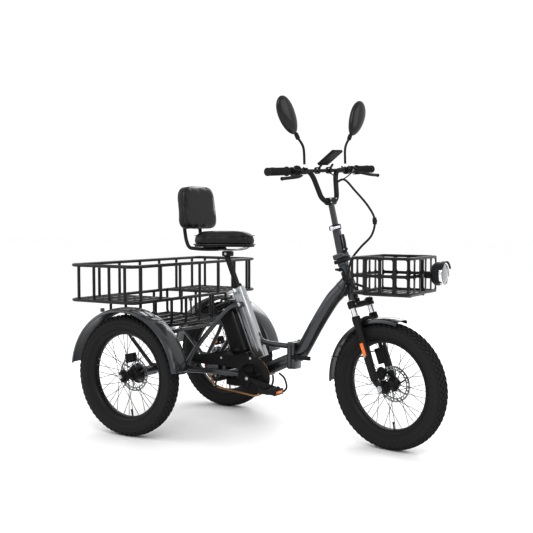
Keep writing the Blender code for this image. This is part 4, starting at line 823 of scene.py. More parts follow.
@dataclass
class Mudguard:
    """A crowned mudguard with rolled edges, its bolts and its wire stays."""

    node: str
    body: str
    centre: Vector
    radius: float
    half: float
    start: float
    end: float
    stays: Sequence[tuple[float, Vector]] = ()
    heading: Heading = Heading.FIXED
    wall: float = 0.0022

    def spot(self, degrees: float, drop: float, across: float) -> Vector:
        """A point by its angle, its depth under the crown and its place across."""
        angle = math.radians(degrees)
        return self.centre + Vector((math.cos(angle), 0.0,
                                     math.sin(angle))) * (self.radius - drop) + SIDE * across

    def sheet(self) -> None:
        """The sheet itself, spun from its section, and its rolled edges."""
        solid = bmesh.new()
        section = [(-1.0, 0.0175), (-0.985, 0.0110), (-0.93, 0.0065), (-0.80, 0.0034), (-0.52, 0.0012),
                   (0.0, 0.0),
                   (0.52, 0.0012), (0.80, 0.0034), (0.93, 0.0065), (0.985, 0.0110), (1.0, 0.0175)]
        line = [solid.verts.new(self.spot(self.start, drop, self.half * share)) for share, drop in section]
        edges = [solid.edges.new(pair) for pair in zip(line, line[1:])]
        bmesh.ops.spin(solid, geom=line + edges, cent=self.centre, axis=-SIDE,
                       angle=math.radians(self.end - self.start), steps=56)
        bmesh.ops.recalc_face_normals(solid, faces=solid.faces)
        bmesh.ops.solidify(solid, geom=solid.faces[:], thickness=self.wall)
        bmesh.ops.recalc_face_normals(solid, faces=solid.faces)
        form = Form().absorb(solid)
        for side in (-1, 1):
            edge = [self.spot(self.start + (self.end - self.start) * step / 48, 0.0182,
                              side * self.half * 0.985)
                    for step in range(49)]
            form.tube(edge, 0.0024, 3)
        for degrees in (self.start, self.end):
            lip = [self.spot(degrees, drop + 0.001, self.half * share * 0.985) for share, drop in section]
            form.tube(lip, 0.0020, 3)
        form.piece(f"{self.node}_sheet", Finishes.FRAME_PAINT, self.body, [self.node], self.heading)

    def fittings(self) -> None:
        """The stays with their bolts."""
        if not self.stays:
            return
        wires, bolts = Form(), Form()
        for degrees, foot in self.stays:
            side = 1.0 if foot.y > self.centre.y else -1.0
            edge = self.spot(degrees, 0.013, side * self.half * 1.01)
            out = (edge - self.centre).normalized()
            wires.tube(rounded([foot, foot.lerp(edge, 0.55) + SIDE * side * 0.003, edge + SIDE * side * 0.004,
                                edge + out * 0.007 + SIDE * side * 0.002], 0.02), 0.0026, 3)
            bolts.bolt(edge + SIDE * side * 0.0055, SIDE * side, 0.0038, 0.004)
            bolts.bolt(foot + SIDE * side * 0.001, SIDE * side, 0.0038, 0.004)
        wires.piece(f"{self.node}_stays", Finishes.SATIN_BLACK, self.body, heading=self.heading)
        bolts.piece(f"{self.node}_bolts", Finishes.STEEL, self.body, heading=self.heading)

    def build(self) -> None:
        """Makes the mudguard."""
        self.sheet()
        self.fittings()


@dataclass
class Caliper:
    """A disc brake caliper with its body halves, pads' slot, adjuster and bolts."""

    node: str
    body: str
    joint: str
    side: float
    angle: float
    slot: float
    heading: Heading = Heading.FIXED
    depth: float = 0.019

    def build(self) -> None:
        """Makes the caliper: two cheeks astride the rotor, joined over its edge."""
        centre = LAYOUT.at(self.joint, self.heading)
        out = Vector((math.cos(math.radians(self.angle)), 0.0, math.sin(math.radians(self.angle))))
        form = Form()
        for cheek in (-1, 1):
            middle = centre + out * 0.072 + SIDE * (self.slot + cheek * (self.depth / 2 + 0.0025))
            form.box(middle, (0.050, self.depth, 0.034), out, bevel=0.005)
        bridge = centre + out * 0.0915 + SIDE * self.slot
        form.box(bridge, (0.046, self.depth * 2 + 0.005, 0.010), out, bevel=0.003)
        knob = centre + out * 0.072 + SIDE * (self.slot + self.side * (self.depth + 0.002))
        form.rod(knob, knob + SIDE * (self.side * 0.006), 0.0125, sides=32, bevel=0.0015)
        form.piece(f"{self.node}_body", Finishes.BLACK_PAINT, self.body, [self.node], self.heading)
        dial = Form().rod(knob + SIDE * (self.side * 0.0055), knob + SIDE * (self.side * 0.0085), 0.0075,
                          sides=24,
                          bevel=0.0008)
        dial.piece(f"{self.node}_dial", Finishes.AMBER, self.body, heading=self.heading)
        bolts = Form()
        along = out.cross(SIDE)
        for reach in (-1, 1):
            at = centre + out * 0.066 + along * (0.019 * reach) + SIDE * (self.slot + self.side * (self.depth + 0.002))
            bolts.bolt(at, SIDE * self.side, 0.0032, 0.004)
        bolts.piece(f"{self.node}_bolts", Finishes.STEEL, self.body, heading=self.heading)


# ---- rear frame ---------------------------------------------------------------------------------
@dataclass
class RearFrame:
    """The welded rear frame: seat tube, lower tube, stays, axle housing, rack and hinge plate."""

    body: str = "rear_half"
    lean: float = 23.0
    seat_tube: tuple[float, float, float] = (0.058, 0.044, 0.345)
    stay_radius: float = 0.0108
    chainstay_radius: float = 0.0135
    housing_radius: float = 0.022
    housing_end: float = 0.328
    hinge_x: float = 0.6465
    hinge_span: tuple[float, float] = (0.308, 0.432)
    bottom: Vector = field(init=False)
    top: Vector = field(init=False)
    rise: Vector = field(init=False)

    def __post_init__(self) -> None:
        """Takes the bottom bracket from its joint and sets the seat tube's top."""
        self.bottom = LAYOUT.at("crank_spin")
        self.rise = leaned(self.lean)
        self.top = Vector((0.340, 0.0, 0.665))

    def along(self, down: float, ahead: float = 0.0, side: float = 0.0) -> Vector:
        """A point by its distance down the seat tube from its top, ahead of it and to the side."""
        return self.top - self.rise * down + SIDE.cross(self.rise) * ahead + SIDE * side

    def seat_tube_form(self) -> None:
        """The seat tube's ribbed extrusion, its collar and the slim rail behind it."""
        depth, width, length = self.seat_tube
        half_d, half_w = depth / 2, width / 2
        outline = rounded([(-half_d, -half_w, 0.0), (half_d, -half_w, 0.0), (half_d, half_w, 0.0),
                           (-half_d, half_w, 0.0)], 0.014, 6, closed=True)
        form = Form().plate([(p.x, p.y) for p in outline], self.along(length / 2), self.rise, length,
                            bevel=0.0015)
        form.tube([self.along(0.02, 0.0, -0.0222), self.along(length - 0.03, 0.0, -0.0222)], 0.0028, 3)
        form.tube([self.along(0.02, 0.0, 0.0222), self.along(length - 0.03, 0.0, 0.0222)], 0.0028, 3)
        # The extrusion gets the lightened graphite paint, a painted highlight.
        form.piece("seat_tube", Finishes.SILVER_PAINT, self.body, ["rear_frame"])
        rail = Form()
        rail.box(self.along(0.205, -0.041), (0.010, 0.022, 0.250), self.rise, bevel=0.002)
        # The rail also gets the lightened graphite paint, a painted highlight.
        rail.piece("battery_rail", Finishes.SILVER_PAINT, self.body)
        spacer = Form()
        for down in (0.100, 0.200, 0.300):
            spacer.box(self.along(down, -0.033), (0.010, 0.018, 0.020), self.rise, bevel=0.001)
        spacer.piece("rail_spacers", Finishes.SATIN_BLACK, self.body)
        collar = Form()
        ring = [(-0.002, 0.0150), (-0.002, 0.0180), (0.000, 0.0200), (0.016, 0.0200), (0.018, 0.0180),
                (0.018, 0.0150)]
        collar.turned(ring, self.along(0.0015), self.rise, sides=48, ring=True)
        collar.box(self.along(-0.008, 0.0, -0.024), (0.012, 0.014, 0.016), self.rise, bevel=0.002)
        collar.piece("seat_collar", Finishes.BLACK_PAINT, self.body)
        bolts = Form()
        for down, ahead in ((0.045, 0.0295), (0.062, 0.0295)):
            bolts.bolt(self.along(down, ahead), SIDE.cross(self.rise), 0.0042, 0.0045)
        for side in (-1, 1):
            bolts.bolt(self.along(0.082, 0.0, side * 0.0455), SIDE * side, 0.0085, 0.005)
        bolts.piece("seat_tube_bolts", Finishes.ALLOY, self.body)

    def tubes(self) -> None:
        """Stays, lower tube, upper link tube and bottom bracket shell, with a bead of weld at each joint."""
        form, welds = Form(), Form()
        start = self.bottom + Vector((-0.004, 0.0, 0.004))
        plate = self.hinge_x - 0.0095
        end = Vector((plate, 0.0, 0.352))
        form.tube(rounded([start, start.lerp(end, 0.5) + UP * 0.004, end], 0.05), 0.0290, 6, squash=0.82)
        link = flowing([self.along(0.235, 0.02), (0.470, 0.0, 0.426), (0.520, 0.0, 0.413),
                        (plate, 0.0, 0.409)])
        form.tube(link, 0.0125, 5)
        form.rod(self.bottom - SIDE * 0.034, self.bottom + SIDE * 0.034, 0.0245, sides=48, bevel=0.002)
        form.rod(self.along(0.082, 0.0, -0.046), self.along(0.082, 0.0, 0.046), 0.0135, sides=32,
                 bevel=0.0015)
        for side in (-1, 1):
            lower = [(0.446, side * 0.026, 0.262), (0.385, side * 0.0425, 0.266),
                     (0.300, side * 0.080, 0.272),
                     (0.232, side * 0.101, 0.276), (0.0, side * 0.150, self.axle_height())]
            form.tube(flowing(lower, 7), self.chainstay_radius, 5)
            upper = [self.along(0.082, 0.0, side * 0.040), Vector((0.318, side * 0.066, 0.560)),
                     Vector((0.205, side * 0.126, 0.405)), Vector((0.115, side * 0.128, 0.276))]
            form.tube(flowing(upper, 8), self.stay_radius, 5)
            welds.turned(ring_section(0.0, 0.0143, 0.0020), (0.115, side * 0.128, 0.288),
                         Vector((-0.5, 0.0, -1.0)),
                         sides=32, ring=True)
            welds.turned(ring_section(0.0, 0.0255, 0.0018), self.bottom + SIDE * (side * 0.033), SIDE,
                         ring=True)
        form.piece("rear_stays", Finishes.FRAME_PAINT, self.body)
        for at, along, radius in ((end - AHEAD * 0.002, AHEAD, 0.0272),
                                  (Vector((plate, 0.0, 0.409)), AHEAD, 0.0132),
                                  (link[2], link[3] - link[1], 0.0132)):
            welds.turned(ring_section(0.0, radius, 0.0019), at, along, sides=40, ring=True)
        welds.piece("rear_welds", Finishes.FRAME_PAINT, self.body)

    def axle_height(self) -> float:
        """The rear axle's height."""
        return LAYOUT.at("rear_wheel_right_spin").z

    def axle_beam(self) -> None:
        """The axle housing with its end flanges, their bolts and the bearing covers."""
        z = self.axle_height()
        end = self.housing_end
        profile = [(-end, 0.014), (-end, 0.044), (-end + 0.001, 0.046), (-end + 0.006, 0.046),
                   (-end + 0.007, 0.030),
                   (-end + 0.030, 0.0235), (-end + 0.034, self.housing_radius)]
        profile += [(-d, r) for d, r in reversed(profile)]
        Form().turned(profile, (0.0, 0.0, z), SIDE, sides=56).piece("axle_housing", Finishes.FRAME_PAINT,
                                                                    self.body)
        bolts = Form()
        for side in (-1, 1):
            for number in range(5):
                angle = math.tau * (number + 0.5) / 5
                at = Vector((math.cos(angle) * 0.037, side * (end - 0.007), z + math.sin(angle) * 0.037))
                bolts.bolt(at, SIDE * -side, 0.0036, 0.004)
        bolts.piece("housing_bolts", Finishes.STEEL, self.body)

    def rack(self) -> None:
        """The carrier under the basket: splayed legs, cross bars, long rails and guard brackets."""
        form = Form()
        z = self.axle_height()
        for side in (-1, 1):
            for x in (0.104, -0.172):
                foot = Vector((0.010 if x > 0 else -0.010, side * 0.205, z + 0.012))
                knee = Vector((x * 0.86, side * 0.205, 0.425))
                form.tube(rounded([foot, knee, (x, side * 0.205, 0.4655)], 0.03), 0.0092, 4)
            form.box((0.0, side * 0.205, z + 0.016), (0.050, 0.008, 0.030), bevel=0.003)
            form.tube([(-0.205, side * 0.205, 0.4655), (0.135, side * 0.205, 0.4655)], 0.0085, 4)
            for x in (0.090, -0.158):
                tip = Vector((x * 1.25, side * 0.346, 0.560))
                form.tube(rounded([(x, side * 0.205, 0.4655), (x, side * 0.300, 0.4655), tip], 0.05), 0.0055,
                          4)
                form.box(tip, (0.024, 0.004, 0.018), Vector((x * 0.6, 0.0, 1.0)), bevel=0.001)
        for x in (0.104, -0.034, -0.172):
            form.tube([(x, -0.222, 0.4655), (x, 0.222, 0.4655)], 0.0085, 4)
        form.piece("basket_rack", Finishes.FRAME_PAINT, self.body)

    def hinge(self) -> None:
        """The rear hinge plate with its knuckles and clamping bolts."""
        low, high = self.hinge_span
        form = Form()
        middle = (low + high) / 2
        outline = rounded([(-0.062, -0.033, 0.0), (0.062, -0.033, 0.0), (0.062, 0.033, 0.0),
                           (-0.062, 0.033, 0.0)],
                          0.012, 5, closed=True)
        form.plate([(p.x, p.y) for p in outline], (self.hinge_x - 0.0095, 0.0, middle), AHEAD, 0.019,
                   bevel=0.002)
        third = (high - low) / 3
        for start in (low, high - third):
            form.rod((self.hinge_x, 0.044, start), (self.hinge_x, 0.044, start + third - 0.001), 0.0105,
                     sides=32,
                     bevel=0.001)
            form.box((self.hinge_x - 0.0085, 0.033, start + third / 2), (0.016, 0.018, third - 0.001),
                     bevel=0.001)
        form.piece("rear_hinge_plate", Finishes.FRAME_PAINT, self.body)
        bolts = Form()
        for z in (low + 0.012, high - 0.012):
            for side in (-1, 1):
                bolts.bolt((self.hinge_x - 0.019, side * 0.020, z), -AHEAD, 0.0035, 0.004)
        bolts.piece("hinge_bolts", Finishes.STEEL, self.body)
        pin = Form().rod((self.hinge_x, 0.044, low - 0.004), (self.hinge_x, 0.044, high + 0.004), 0.005,
                         sides=24)
        pin.rod((self.hinge_x, 0.044, high + 0.0015), (self.hinge_x, 0.044, high + 0.006), 0.0085, sides=6,
                bevel=0.0006)
        pin.rod((self.hinge_x, 0.044, low - 0.006), (self.hinge_x, 0.044, low - 0.0015), 0.0085, sides=6,
                bevel=0.0006)
        pin.piece("hinge_pin_bolt", Finishes.STEEL, self.body, ["hinge_pin"])

    def stand(self) -> None:
        """The wire loop that the folded tricycle rests on."""
        loop = [(0.540, -0.012, 0.268), (0.552, -0.030, 0.245), (0.545, -0.034, 0.205), (0.565, 0.0, 0.186),
                (0.585, 0.034, 0.205), (0.578, 0.030, 0.250), (0.560, 0.012, 0.277)]
        Form().tube(flowing(loop, 8), 0.0042, 4).piece("rest_loop", Finishes.BLACK_PAINT, self.body,
                                                       ["fold_stand"])

    def build(self) -> None:
        """Makes the rear frame."""
        self.seat_tube_form()
        self.tubes()
        self.axle_beam()
        self.rack()
        self.hinge()
        self.stand()


@dataclass
class Battery:
    """The battery pack: rounded case with end caps, side recess, lock and handle."""

    body: str = "rear_half"
    size: tuple[float, float, float] = (0.092, 0.078, 0.285)
    down: float = 0.180

    def build(self, rear: RearFrame) -> None:
        """Makes the battery behind the seat tube."""
        middle = rear.along(self.down, -(0.029 + 0.016 + 0.047))
        forward = SIDE.cross(rear.rise)
        length = self.size[2]
        form = Form()
        form.box(middle, (self.size[0] - 0.004, self.size[1] - 0.002, length - 0.050), rear.rise,
                 bevel=0.014, segments=5)
        for end in (-1, 1):
            cap = middle + rear.rise * (end * (length / 2 - 0.014))
            form.box(cap, (self.size[0], self.size[1], 0.028), rear.rise, bevel=0.010, segments=5)
        for step in range(-3, 4):
            form.box(middle - forward * 0.0435 + rear.rise * (step * 0.026), (0.006, 0.058, 0.006), rear.rise,
                     bevel=0.0015)
        form.piece("battery_case", Finishes.CASE_PLASTIC, self.body, ["battery_pack"])
        trim = Form()
        for side in (-1, 1):
            outline = rounded([(-0.032, -0.085, 0.0), (0.032, -0.085, 0.0), (0.032, 0.085, 0.0),
                               (-0.032, 0.085, 0.0)],
                              0.012, 5, closed=True)
            at = middle + SIDE * (side * 0.0388)
            trim.plate([(p.y, p.x) for p in outline], at, SIDE * side, 0.0016, bevel=0.0006, across=forward)
        handle = [middle + rear.rise * (length / 2 - 0.002) - forward * 0.030,
                  middle + rear.rise * (length / 2 + 0.016) - forward * 0.026,
                  middle + rear.rise * (length / 2 + 0.016) + forward * 0.010,
                  middle + rear.rise * (length / 2 - 0.002) + forward * 0.014]
        trim.tube(rounded(handle, 0.012), 0.0045, 4)
        trim.piece("battery_trim", Finishes.MOULDED, self.body)
        lock = Form()
        at = middle + rear.rise * (length / 2 - 0.040) - SIDE * 0.0385
        lock.rod(at, at - SIDE * 0.003, 0.0085, sides=28, bevel=0.0008)
        lock.box(at - SIDE * 0.0033, (0.0018, 0.0008, 0.0090), rear.rise)
        lock.piece("battery_lock", Finishes.CHROME, self.body)


@dataclass
class Drive:
    """Motor, differential, controller, chain guard, chain, sprockets, derailleur and cranks."""

    body: str = "rear_half"
    chain_y: float = 0.062
    ring_radius: float = 0.082
    sprocket_radius: float = 0.034
    teeth: int = 44
    crank_y: float = 0.107
    bottom: Vector = field(init=False)
    sprocket: Vector = field(init=False)

    def __post_init__(self) -> None:
        """Takes the shafts' places from their joints."""
        self.bottom = LAYOUT.at("crank_spin")
        self.sprocket = LAYOUT.at("sprocket_spin")

    def motor(self) -> None:
        """The motor with cooling ribs and a bolted cover."""
        at = Vector((self.sprocket.x, 0.0, self.sprocket.z))
        profile = [(-0.040, 0.028), (-0.0385, 0.050), (-0.034, 0.060)]
        for rib in range(7):
            low = -0.030 + rib * 0.009
            profile += [(low, 0.0640), (low + 0.001, 0.0700), (low + 0.004, 0.0700), (low + 0.005, 0.0640)]
        profile += [(0.0365, 0.060), (0.0390, 0.050), (0.040, 0.028)]
        Form().turned(profile, at, SIDE, sides=72).piece("motor_case", Finishes.SATIN_BLACK, self.body,
                                                         ["drive_motor"])
        bolts = Form().bolt(at - SIDE * 0.0385 + AHEAD * 0.045, -SIDE, 0.0035, 0.004).repeat(6, at, SIDE)
        bolts.piece("motor_bolts", Finishes.ALLOY, self.body)
        z = LAYOUT.at("rear_wheel_right_spin").z
        case = [(-0.075, 0.026), (-0.073, 0.040), (-0.064, 0.049), (-0.058, 0.052), (-0.006, 0.052),
                (-0.005, 0.054),
                (0.005, 0.054), (0.006, 0.052), (0.058, 0.052), (0.064, 0.049), (0.073, 0.040), (0.075,
                                                                                                 0.026)]
        Form().turned(case, (0.0, 0.0, z), SIDE, sides=64).piece("differential_cover", Finishes.SATIN_BLACK,
                                                                 self.body,
                                                                 ["differential_case"])
        studs = Form().bolt((0.0495, 0.0065, z), SIDE, 0.003, 0.004).repeat(8, (0.0, 0.0, z), SIDE)
        studs.piece("differential_bolts", Finishes.STEEL, self.body)
        box = Form().box((0.345, 0.0, 0.222), (0.110, 0.060, 0.034), bevel=0.005)
        for fin in range(9):
            box.box((0.305 + fin * 0.010, 0.0, 0.204), (0.003, 0.052, 0.005), bevel=0.0005)
        box.piece("controller_case", Finishes.SATIN_BLACK, self.body, ["controller_box"])

    def brackets(self) -> None:
        """The tubes and tabs that carry the motor, the controller, the guard and the derailleur."""
        form = Form().rod((0.235, 0.0395, 0.285), (0.235, 0.098, 0.285), 0.014, sides=32, bevel=0.001)
        form.rod((0.3155, -0.072, 0.270), (0.3155, 0.072, 0.270), 0.010, sides=28)
        form.rod((0.142, -0.124, 0.315), (0.142, -0.0843, 0.315), 0.005, sides=20)
        form.box((0.3155, 0.0, 0.2545), (0.018, 0.050, 0.030), bevel=0.002)
        form.box((0.312, -0.0775, 0.293), (0.020, 0.005, 0.040), bevel=0.001)
        form.box((0.268, -0.0815, 0.2575), (0.018, 0.004, 0.030), bevel=0.001)
        form.piece("drive_brackets", Finishes.FRAME_PAINT, self.body)

    def guard(self) -> None:
        """The chain guard, a thin plate with a turned-in edge, and the bolts that hold it."""
        x, z = self.bottom.x, self.bottom.z
        outer = self.ring_radius + 0.020
        shape = [(0.085, 0.304), (0.092, 0.343), (x - 0.02, z + outer)]
        shape += arc(x, z, outer, range(90, -33, -6))
        shape += arc(x, z, 0.064, range(-32, 151, 7))
        shape += [(0.330, 0.302)]
        at = Vector((0.0, -(self.chain_y + 0.020), 0.0))
        form = Form().plate([(-z_, x_) for x_, z_ in shape], at, -SIDE, 0.0035, bevel=0.001, across=AHEAD)
        form.piece("chain_guard_plate", Finishes.BLACK_PAINT, self.body, ["chain_guard"])
        bolts = Form()
        for x_, z_ in ((0.120, 0.326), (0.300, 0.340), (x, z + 0.088)):
            bolts.bolt((x_, at.y - 0.0018, z_), -SIDE, 0.0045, 0.004)
        bolts.piece("guard_bolts", Finishes.ALLOY, self.body)

    def chain_path(self) -> list[Vector]:
        """The chain's closed centre line: over the ring, back, round the sprocket and by the tension wheels."""
        ring, small = self.ring_radius + 0.0055, self.sprocket_radius + 0.0055
        x, z = self.bottom.x, self.bottom.z
        sx, sz = self.sprocket.x, self.sprocket.z
        path = arc(x, z, ring, range(97, -95, -8))
        tx, tz = sx + 0.020, sz - 0.078
        path += arc(tx, tz, 0.0115, (275, 240, 205))
        path += arc(sx, sz, small, range(250, 96, -12))
        return [Vector((a, -self.chain_y, b)) for a, b in path]

    def chain(self) -> None:
        """The roller chain: a plate pair and a roller at every half inch of its path."""
        path = self.chain_path()
        path.append(path[0])
        lengths = [0.0]
        for before, after in zip(path, path[1:]):
            lengths.append(lengths[-1] + (after - before).length)
        count = int(lengths[-1] / 0.0127 / 2) * 2
        pitch = lengths[-1] / count
        spots = []
        run = 0
        for number in range(count):
            reach = number * pitch
            while lengths[run + 1] < reach:
                run += 1
            share = (reach - lengths[run]) / (lengths[run + 1] - lengths[run])
            spots.append(path[run].lerp(path[run + 1], share))
        form = Form()
        for number, spot in enumerate(spots):
            following = spots[(number + 1) % count]
            middle, run_along = (spot + following) / 2, following - spot
            wide = 0.0036 if number % 2 else 0.0026
            for side in (-1, 1):
                form.box(middle + SIDE * (side * wide), (0.0078, 0.0009, pitch * 0.995), run_along,
                         bevel=0.0022,
                         segments=1)
            form.rod(spot - SIDE * 0.0044, spot + SIDE * 0.0044, 0.0027, sides=8)
        form.piece("roller_chain", Finishes.COPPER_CHAIN, self.body, ["chain"])

    def toothed(self, centre: Vector, teeth: int, root: float, tip: float, thickness: float) -> Form:
        """A toothed ring as an extruded outline about an axis across the vehicle."""
        outline = []
        for number in range(teeth):
            for share, radius in ((-0.30, root), (-0.12, tip), (0.12, tip), (0.30, root)):
                angle = math.tau * (number + share) / teeth
                outline.append((math.cos(angle) * radius, math.sin(angle) * radius))
        return Form().plate(outline, centre, -SIDE, thickness, across=AHEAD)

    def cranks(self) -> None:
        """Chainring on its spider, crank arms and pedals' axles."""
        face = self.bottom - SIDE * self.chain_y
        ring = pierced_ring((0.056, 0.060, 0.071, 0.0765), 45, 0.0028, basis(face, SIDE))
        teeth = self.toothed(Vector((0.0, 0.0, 0.0)), self.teeth, 0.0765, 0.0835, 0.0024)
        ring.absorb(teeth.mesh, Matrix.Translation(face))
        ring.piece("chainring_teeth", Finishes.SATIN_BLACK, "crank", ["crank_arm_right"])
        arms = Form()
        for number in range(5):
            angle = math.tau * (number + 0.3) / 5
            out = Vector((math.cos(angle), 0.0, math.sin(angle)))
            root, tip = face - SIDE * 0.010 + out * 0.016, face + out * 0.0625
            arms.box((root + tip) / 2, (0.013, 0.006, (tip - root).length), tip - root, bevel=0.0018)
        arms.turned([(0.006, 0.012), (0.006, 0.024), (0.018, 0.022), (0.030, 0.019), (0.037, 0.017),
                     (0.037, 0.010)],
                    face, -SIDE, sides=40)
        self.crank_arm(arms, -1.0, "crank_arm_and_spider", [])
        self.crank_arm(Form(), 1.0, "left_crank_arm", ["crank_arm_left"])
        caps = Form()
        for side in (-1, 1):
            at = self.bottom + SIDE * (side * (self.crank_y + 0.0075))
            caps.rod(at, at + SIDE * (side * 0.003), 0.0085, sides=28, bevel=0.0008)
            caps.rod(at + SIDE * (side * 0.003), at + SIDE * (side * 0.004), 0.0042, sides=6)
        shell = self.bottom
        caps.rod(shell - SIDE * 0.0995, shell + SIDE * 0.0995, 0.0084, sides=24)
        caps.piece("crank_caps", Finishes.STEEL, "crank", ["crank_spindle"])

    def crank_arm(self, form: Form, side: float, name: str, nodes: Sequence[str]) -> None:
        """Adds one tapered crank arm to a form and makes the piece."""
        pedal = LAYOUT.at("pedal_right_spin" if side < 0 else "pedal_left_spin")
        start = self.bottom + SIDE * (side * self.crank_y)
        end = Vector((pedal.x, start.y, pedal.z))
        run = end - start
        form.box(start.lerp(end, 0.5), (0.017, 0.0125, run.length), run, bevel=0.005, segments=4)
        form.rod(start - SIDE * 0.008, start + SIDE * 0.008, 0.0160, sides=40, bevel=0.003)
        form.rod(end - SIDE * 0.007, end + SIDE * 0.007, 0.0125, sides=36, bevel=0.003)
        form.piece(name, Finishes.BLACK_PAINT, "crank", nodes)

    def pedals(self) -> None:
        """Folding pedals: toothed cage, body, axle, end cap and two reflectors each."""
        for side, name, body in ((-1.0, "right", "pedal_r"), (1.0, "left", "pedal_l")):
            at = LAYOUT.at(f"pedal_{name}_spin")
            cage = Form()
            for reach in (-1, 1):
                cage.box(at + AHEAD * (reach * 0.036), (0.010, 0.078, 0.022), bevel=0.003)
                for tooth in range(6):
                    y = (tooth - 2.5) * 0.0125
                    for rise in (-1, 1):
                        cage.box(at + Vector((reach * 0.037, y, rise * 0.0115)), (0.007, 0.006, 0.003),
                                 bevel=0.0006)
                cage.box(at + SIDE * (side * reach * 0.036), (0.066, 0.008, 0.018), bevel=0.002)
            cage.rod(at - SIDE * 0.034, at + SIDE * 0.034, 0.0125, sides=28, bevel=0.002)
            for reach in (-1, 1):
                cage.box(at + AHEAD * (reach * 0.020), (0.024, 0.012, 0.010), bevel=0.002)
            cage.piece(f"pedal_{name}_cage", Finishes.MOULDED, body, [f"pedal_{name}"])
            amber = Form()
            for reach in (-1, 1):
                amber.box(at + AHEAD * (reach * 0.0418), (0.0025, 0.050, 0.012), bevel=0.0008)
            amber.piece(f"pedal_{name}_reflectors", Finishes.AMBER, body)
            axle = Form().rod(at - SIDE * (side * 0.030), at - SIDE * (side * 0.0488), 0.0062, sides=20)
            axle.rod(at - SIDE * (side * 0.041), at - SIDE * (side * 0.046), 0.0095, sides=6, bevel=0.0008)
            axle.piece(f"pedal_{name}_axle", Finishes.STEEL, body)

    def gears(self) -> None:
        """Rear sprocket on its hub, and the derailleur with its cage and two tension wheels."""
        at = Vector((self.sprocket.x, -self.chain_y, self.sprocket.z))
        form = Form()
        teeth = self.toothed(Vector((0.0, 0.0, 0.0)), 18, self.sprocket_radius - 0.004,
                             self.sprocket_radius + 0.0015,
                             0.0024)
        form.absorb(teeth.mesh, Matrix.Translation(at))
        form.turned([(0.0415, 0.012), (0.0415, 0.021), (self.chain_y, 0.021), (self.chain_y, 0.012)],
                    (at.x, 0.0, at.z), -SIDE, sides=36, ring=True)
        form.piece("sprocket_teeth", Finishes.STEEL, "sprocket", ["rear_sprocket"])
        pivot = LAYOUT.at("derailleur_swing")
        cage = Form()
        y = -(self.chain_y + 0.0095)
        cage.tube(rounded([(pivot.x, y, pivot.z), (0.266, y, 0.230), (0.256, y, 0.205), (0.256, y, 0.192)],
                          0.02),
                  0.0042, 4)
        cage.rod((pivot.x, y + 0.004, pivot.z), (pivot.x, y - 0.010, pivot.z), 0.0105, sides=28, bevel=0.002)
        cage.box((0.262, y - 0.003, 0.238), (0.020, 0.006, 0.030), Vector((0.15, 0.0, 1.0)), bevel=0.002)
        cage.piece("derailleur_arm_and_cage", Finishes.SATIN_BLACK, "derailleur_arm", ["derailleur"])
        bolts = Form().bolt((pivot.x, y - 0.010, pivot.z), -SIDE, 0.0048, 0.004)
        bolts.bolt((0.256, y - 0.004, 0.205), -SIDE, 0.003, 0.003)
        bolts.piece("derailleur_bolts", Finishes.STEEL, "derailleur_arm")

    def build(self) -> None:
        """Makes the drive."""
        self.motor()
        self.brackets()
        self.guard()
        self.chain()
        self.cranks()
        self.pedals()
        self.gears()


# ---- baskets and lamp ---------------------------------------------------------------------------
@dataclass
class RearBasket:
    """The rear basket: a wire tray with side wings and a deep well between the wheels."""

    body: str = "rear_half"
    rail: float = 0.0075
    wire: float = 0.0066
    corner: float = 0.035
    drop: float = 0.487
    well: float = 0.228

    def build(self) -> None:
        """Makes the rails, posts, wing floors and the well."""
        low, high = LAYOUT.box("rear_basket")
        x0, x1 = low.x + self.rail, high.x - self.rail
        y1, floor, top = high.y - self.rail, 0.610 + self.rail, high.z - self.rail
        form = Form()
        for z, radius in ((top, self.rail), (floor, self.rail)):
            loop = rounded([(x0, -y1, z), (x1, -y1, z), (x1, y1, z), (x0, y1, z)], self.corner, 6,
                           closed=True)
            form.tube(loop, radius, 4, closed=True)
        posts = [(x, y) for x in (x0, x1) for y in (-0.440, -0.300, -0.155, 0.0, 0.155, 0.300, 0.440)]
        posts += [(x, y) for y in (-y1, y1) for x in (x0 + 0.050, (x0 + x1) / 2 - 0.045,
                                                      (x0 + x1) / 2 + 0.045, x1 - 0.050)]
        for x, y in posts:
            form.tube([(x, y, floor), (x, y, top)], self.wire, 3)
        well, base = self.well - self.rail, self.drop + self.rail
        for side in (-1, 1):
            form.tube([(x0, side * well, floor), (x1, side * well, floor)], self.rail, 4)
            for step in range(4):
                y = side * (well + (y1 - well) * (step + 1) / 5)
                form.tube([(x0, y, floor), (x1, y, floor)], self.wire, 3)
            for x in (x0 + 0.095, x0 + 0.190, x0 + 0.285):
                form.tube([(x, side * well, floor), (x, side * y1, floor)], self.wire * 0.85, 3)
        form.tube(rounded([(x0, -well, base), (x1, -well, base), (x1, well, base), (x0, well, base)], 0.02, 5,
                          closed=True), self.rail, 4, closed=True)
        for step in range(5):
            y = -well + 2 * well * step / 4
            hoop = [(x0, y, floor), (x0, y, base), (x1, y, base), (x1, y, floor)]
            form.tube(rounded(hoop, 0.022, 5), self.wire, 3)
        for x in (x0 + 0.095, (x0 + x1) / 2, x1 - 0.095):
            hoop = [(x, -well, floor), (x, -well, base), (x, well, base), (x, well, floor)]
            form.tube(rounded(hoop, 0.022, 5), self.wire, 3)
        form.piece("rear_basket_wires", Finishes.BASKET_COAT, self.body, ["rear_basket"])
        clips = Form()
        for x in (-0.172, 0.104):
            for y in (-0.205, 0.205):
                clips.box((x, y, 0.4800), (0.030, 0.026, 0.005), bevel=0.001)
                clips.bolt((x, y, 0.4985), UP, 0.0040, 0.004)
        clips.piece("rear_basket_clamps", Finishes.STEEL, self.body)


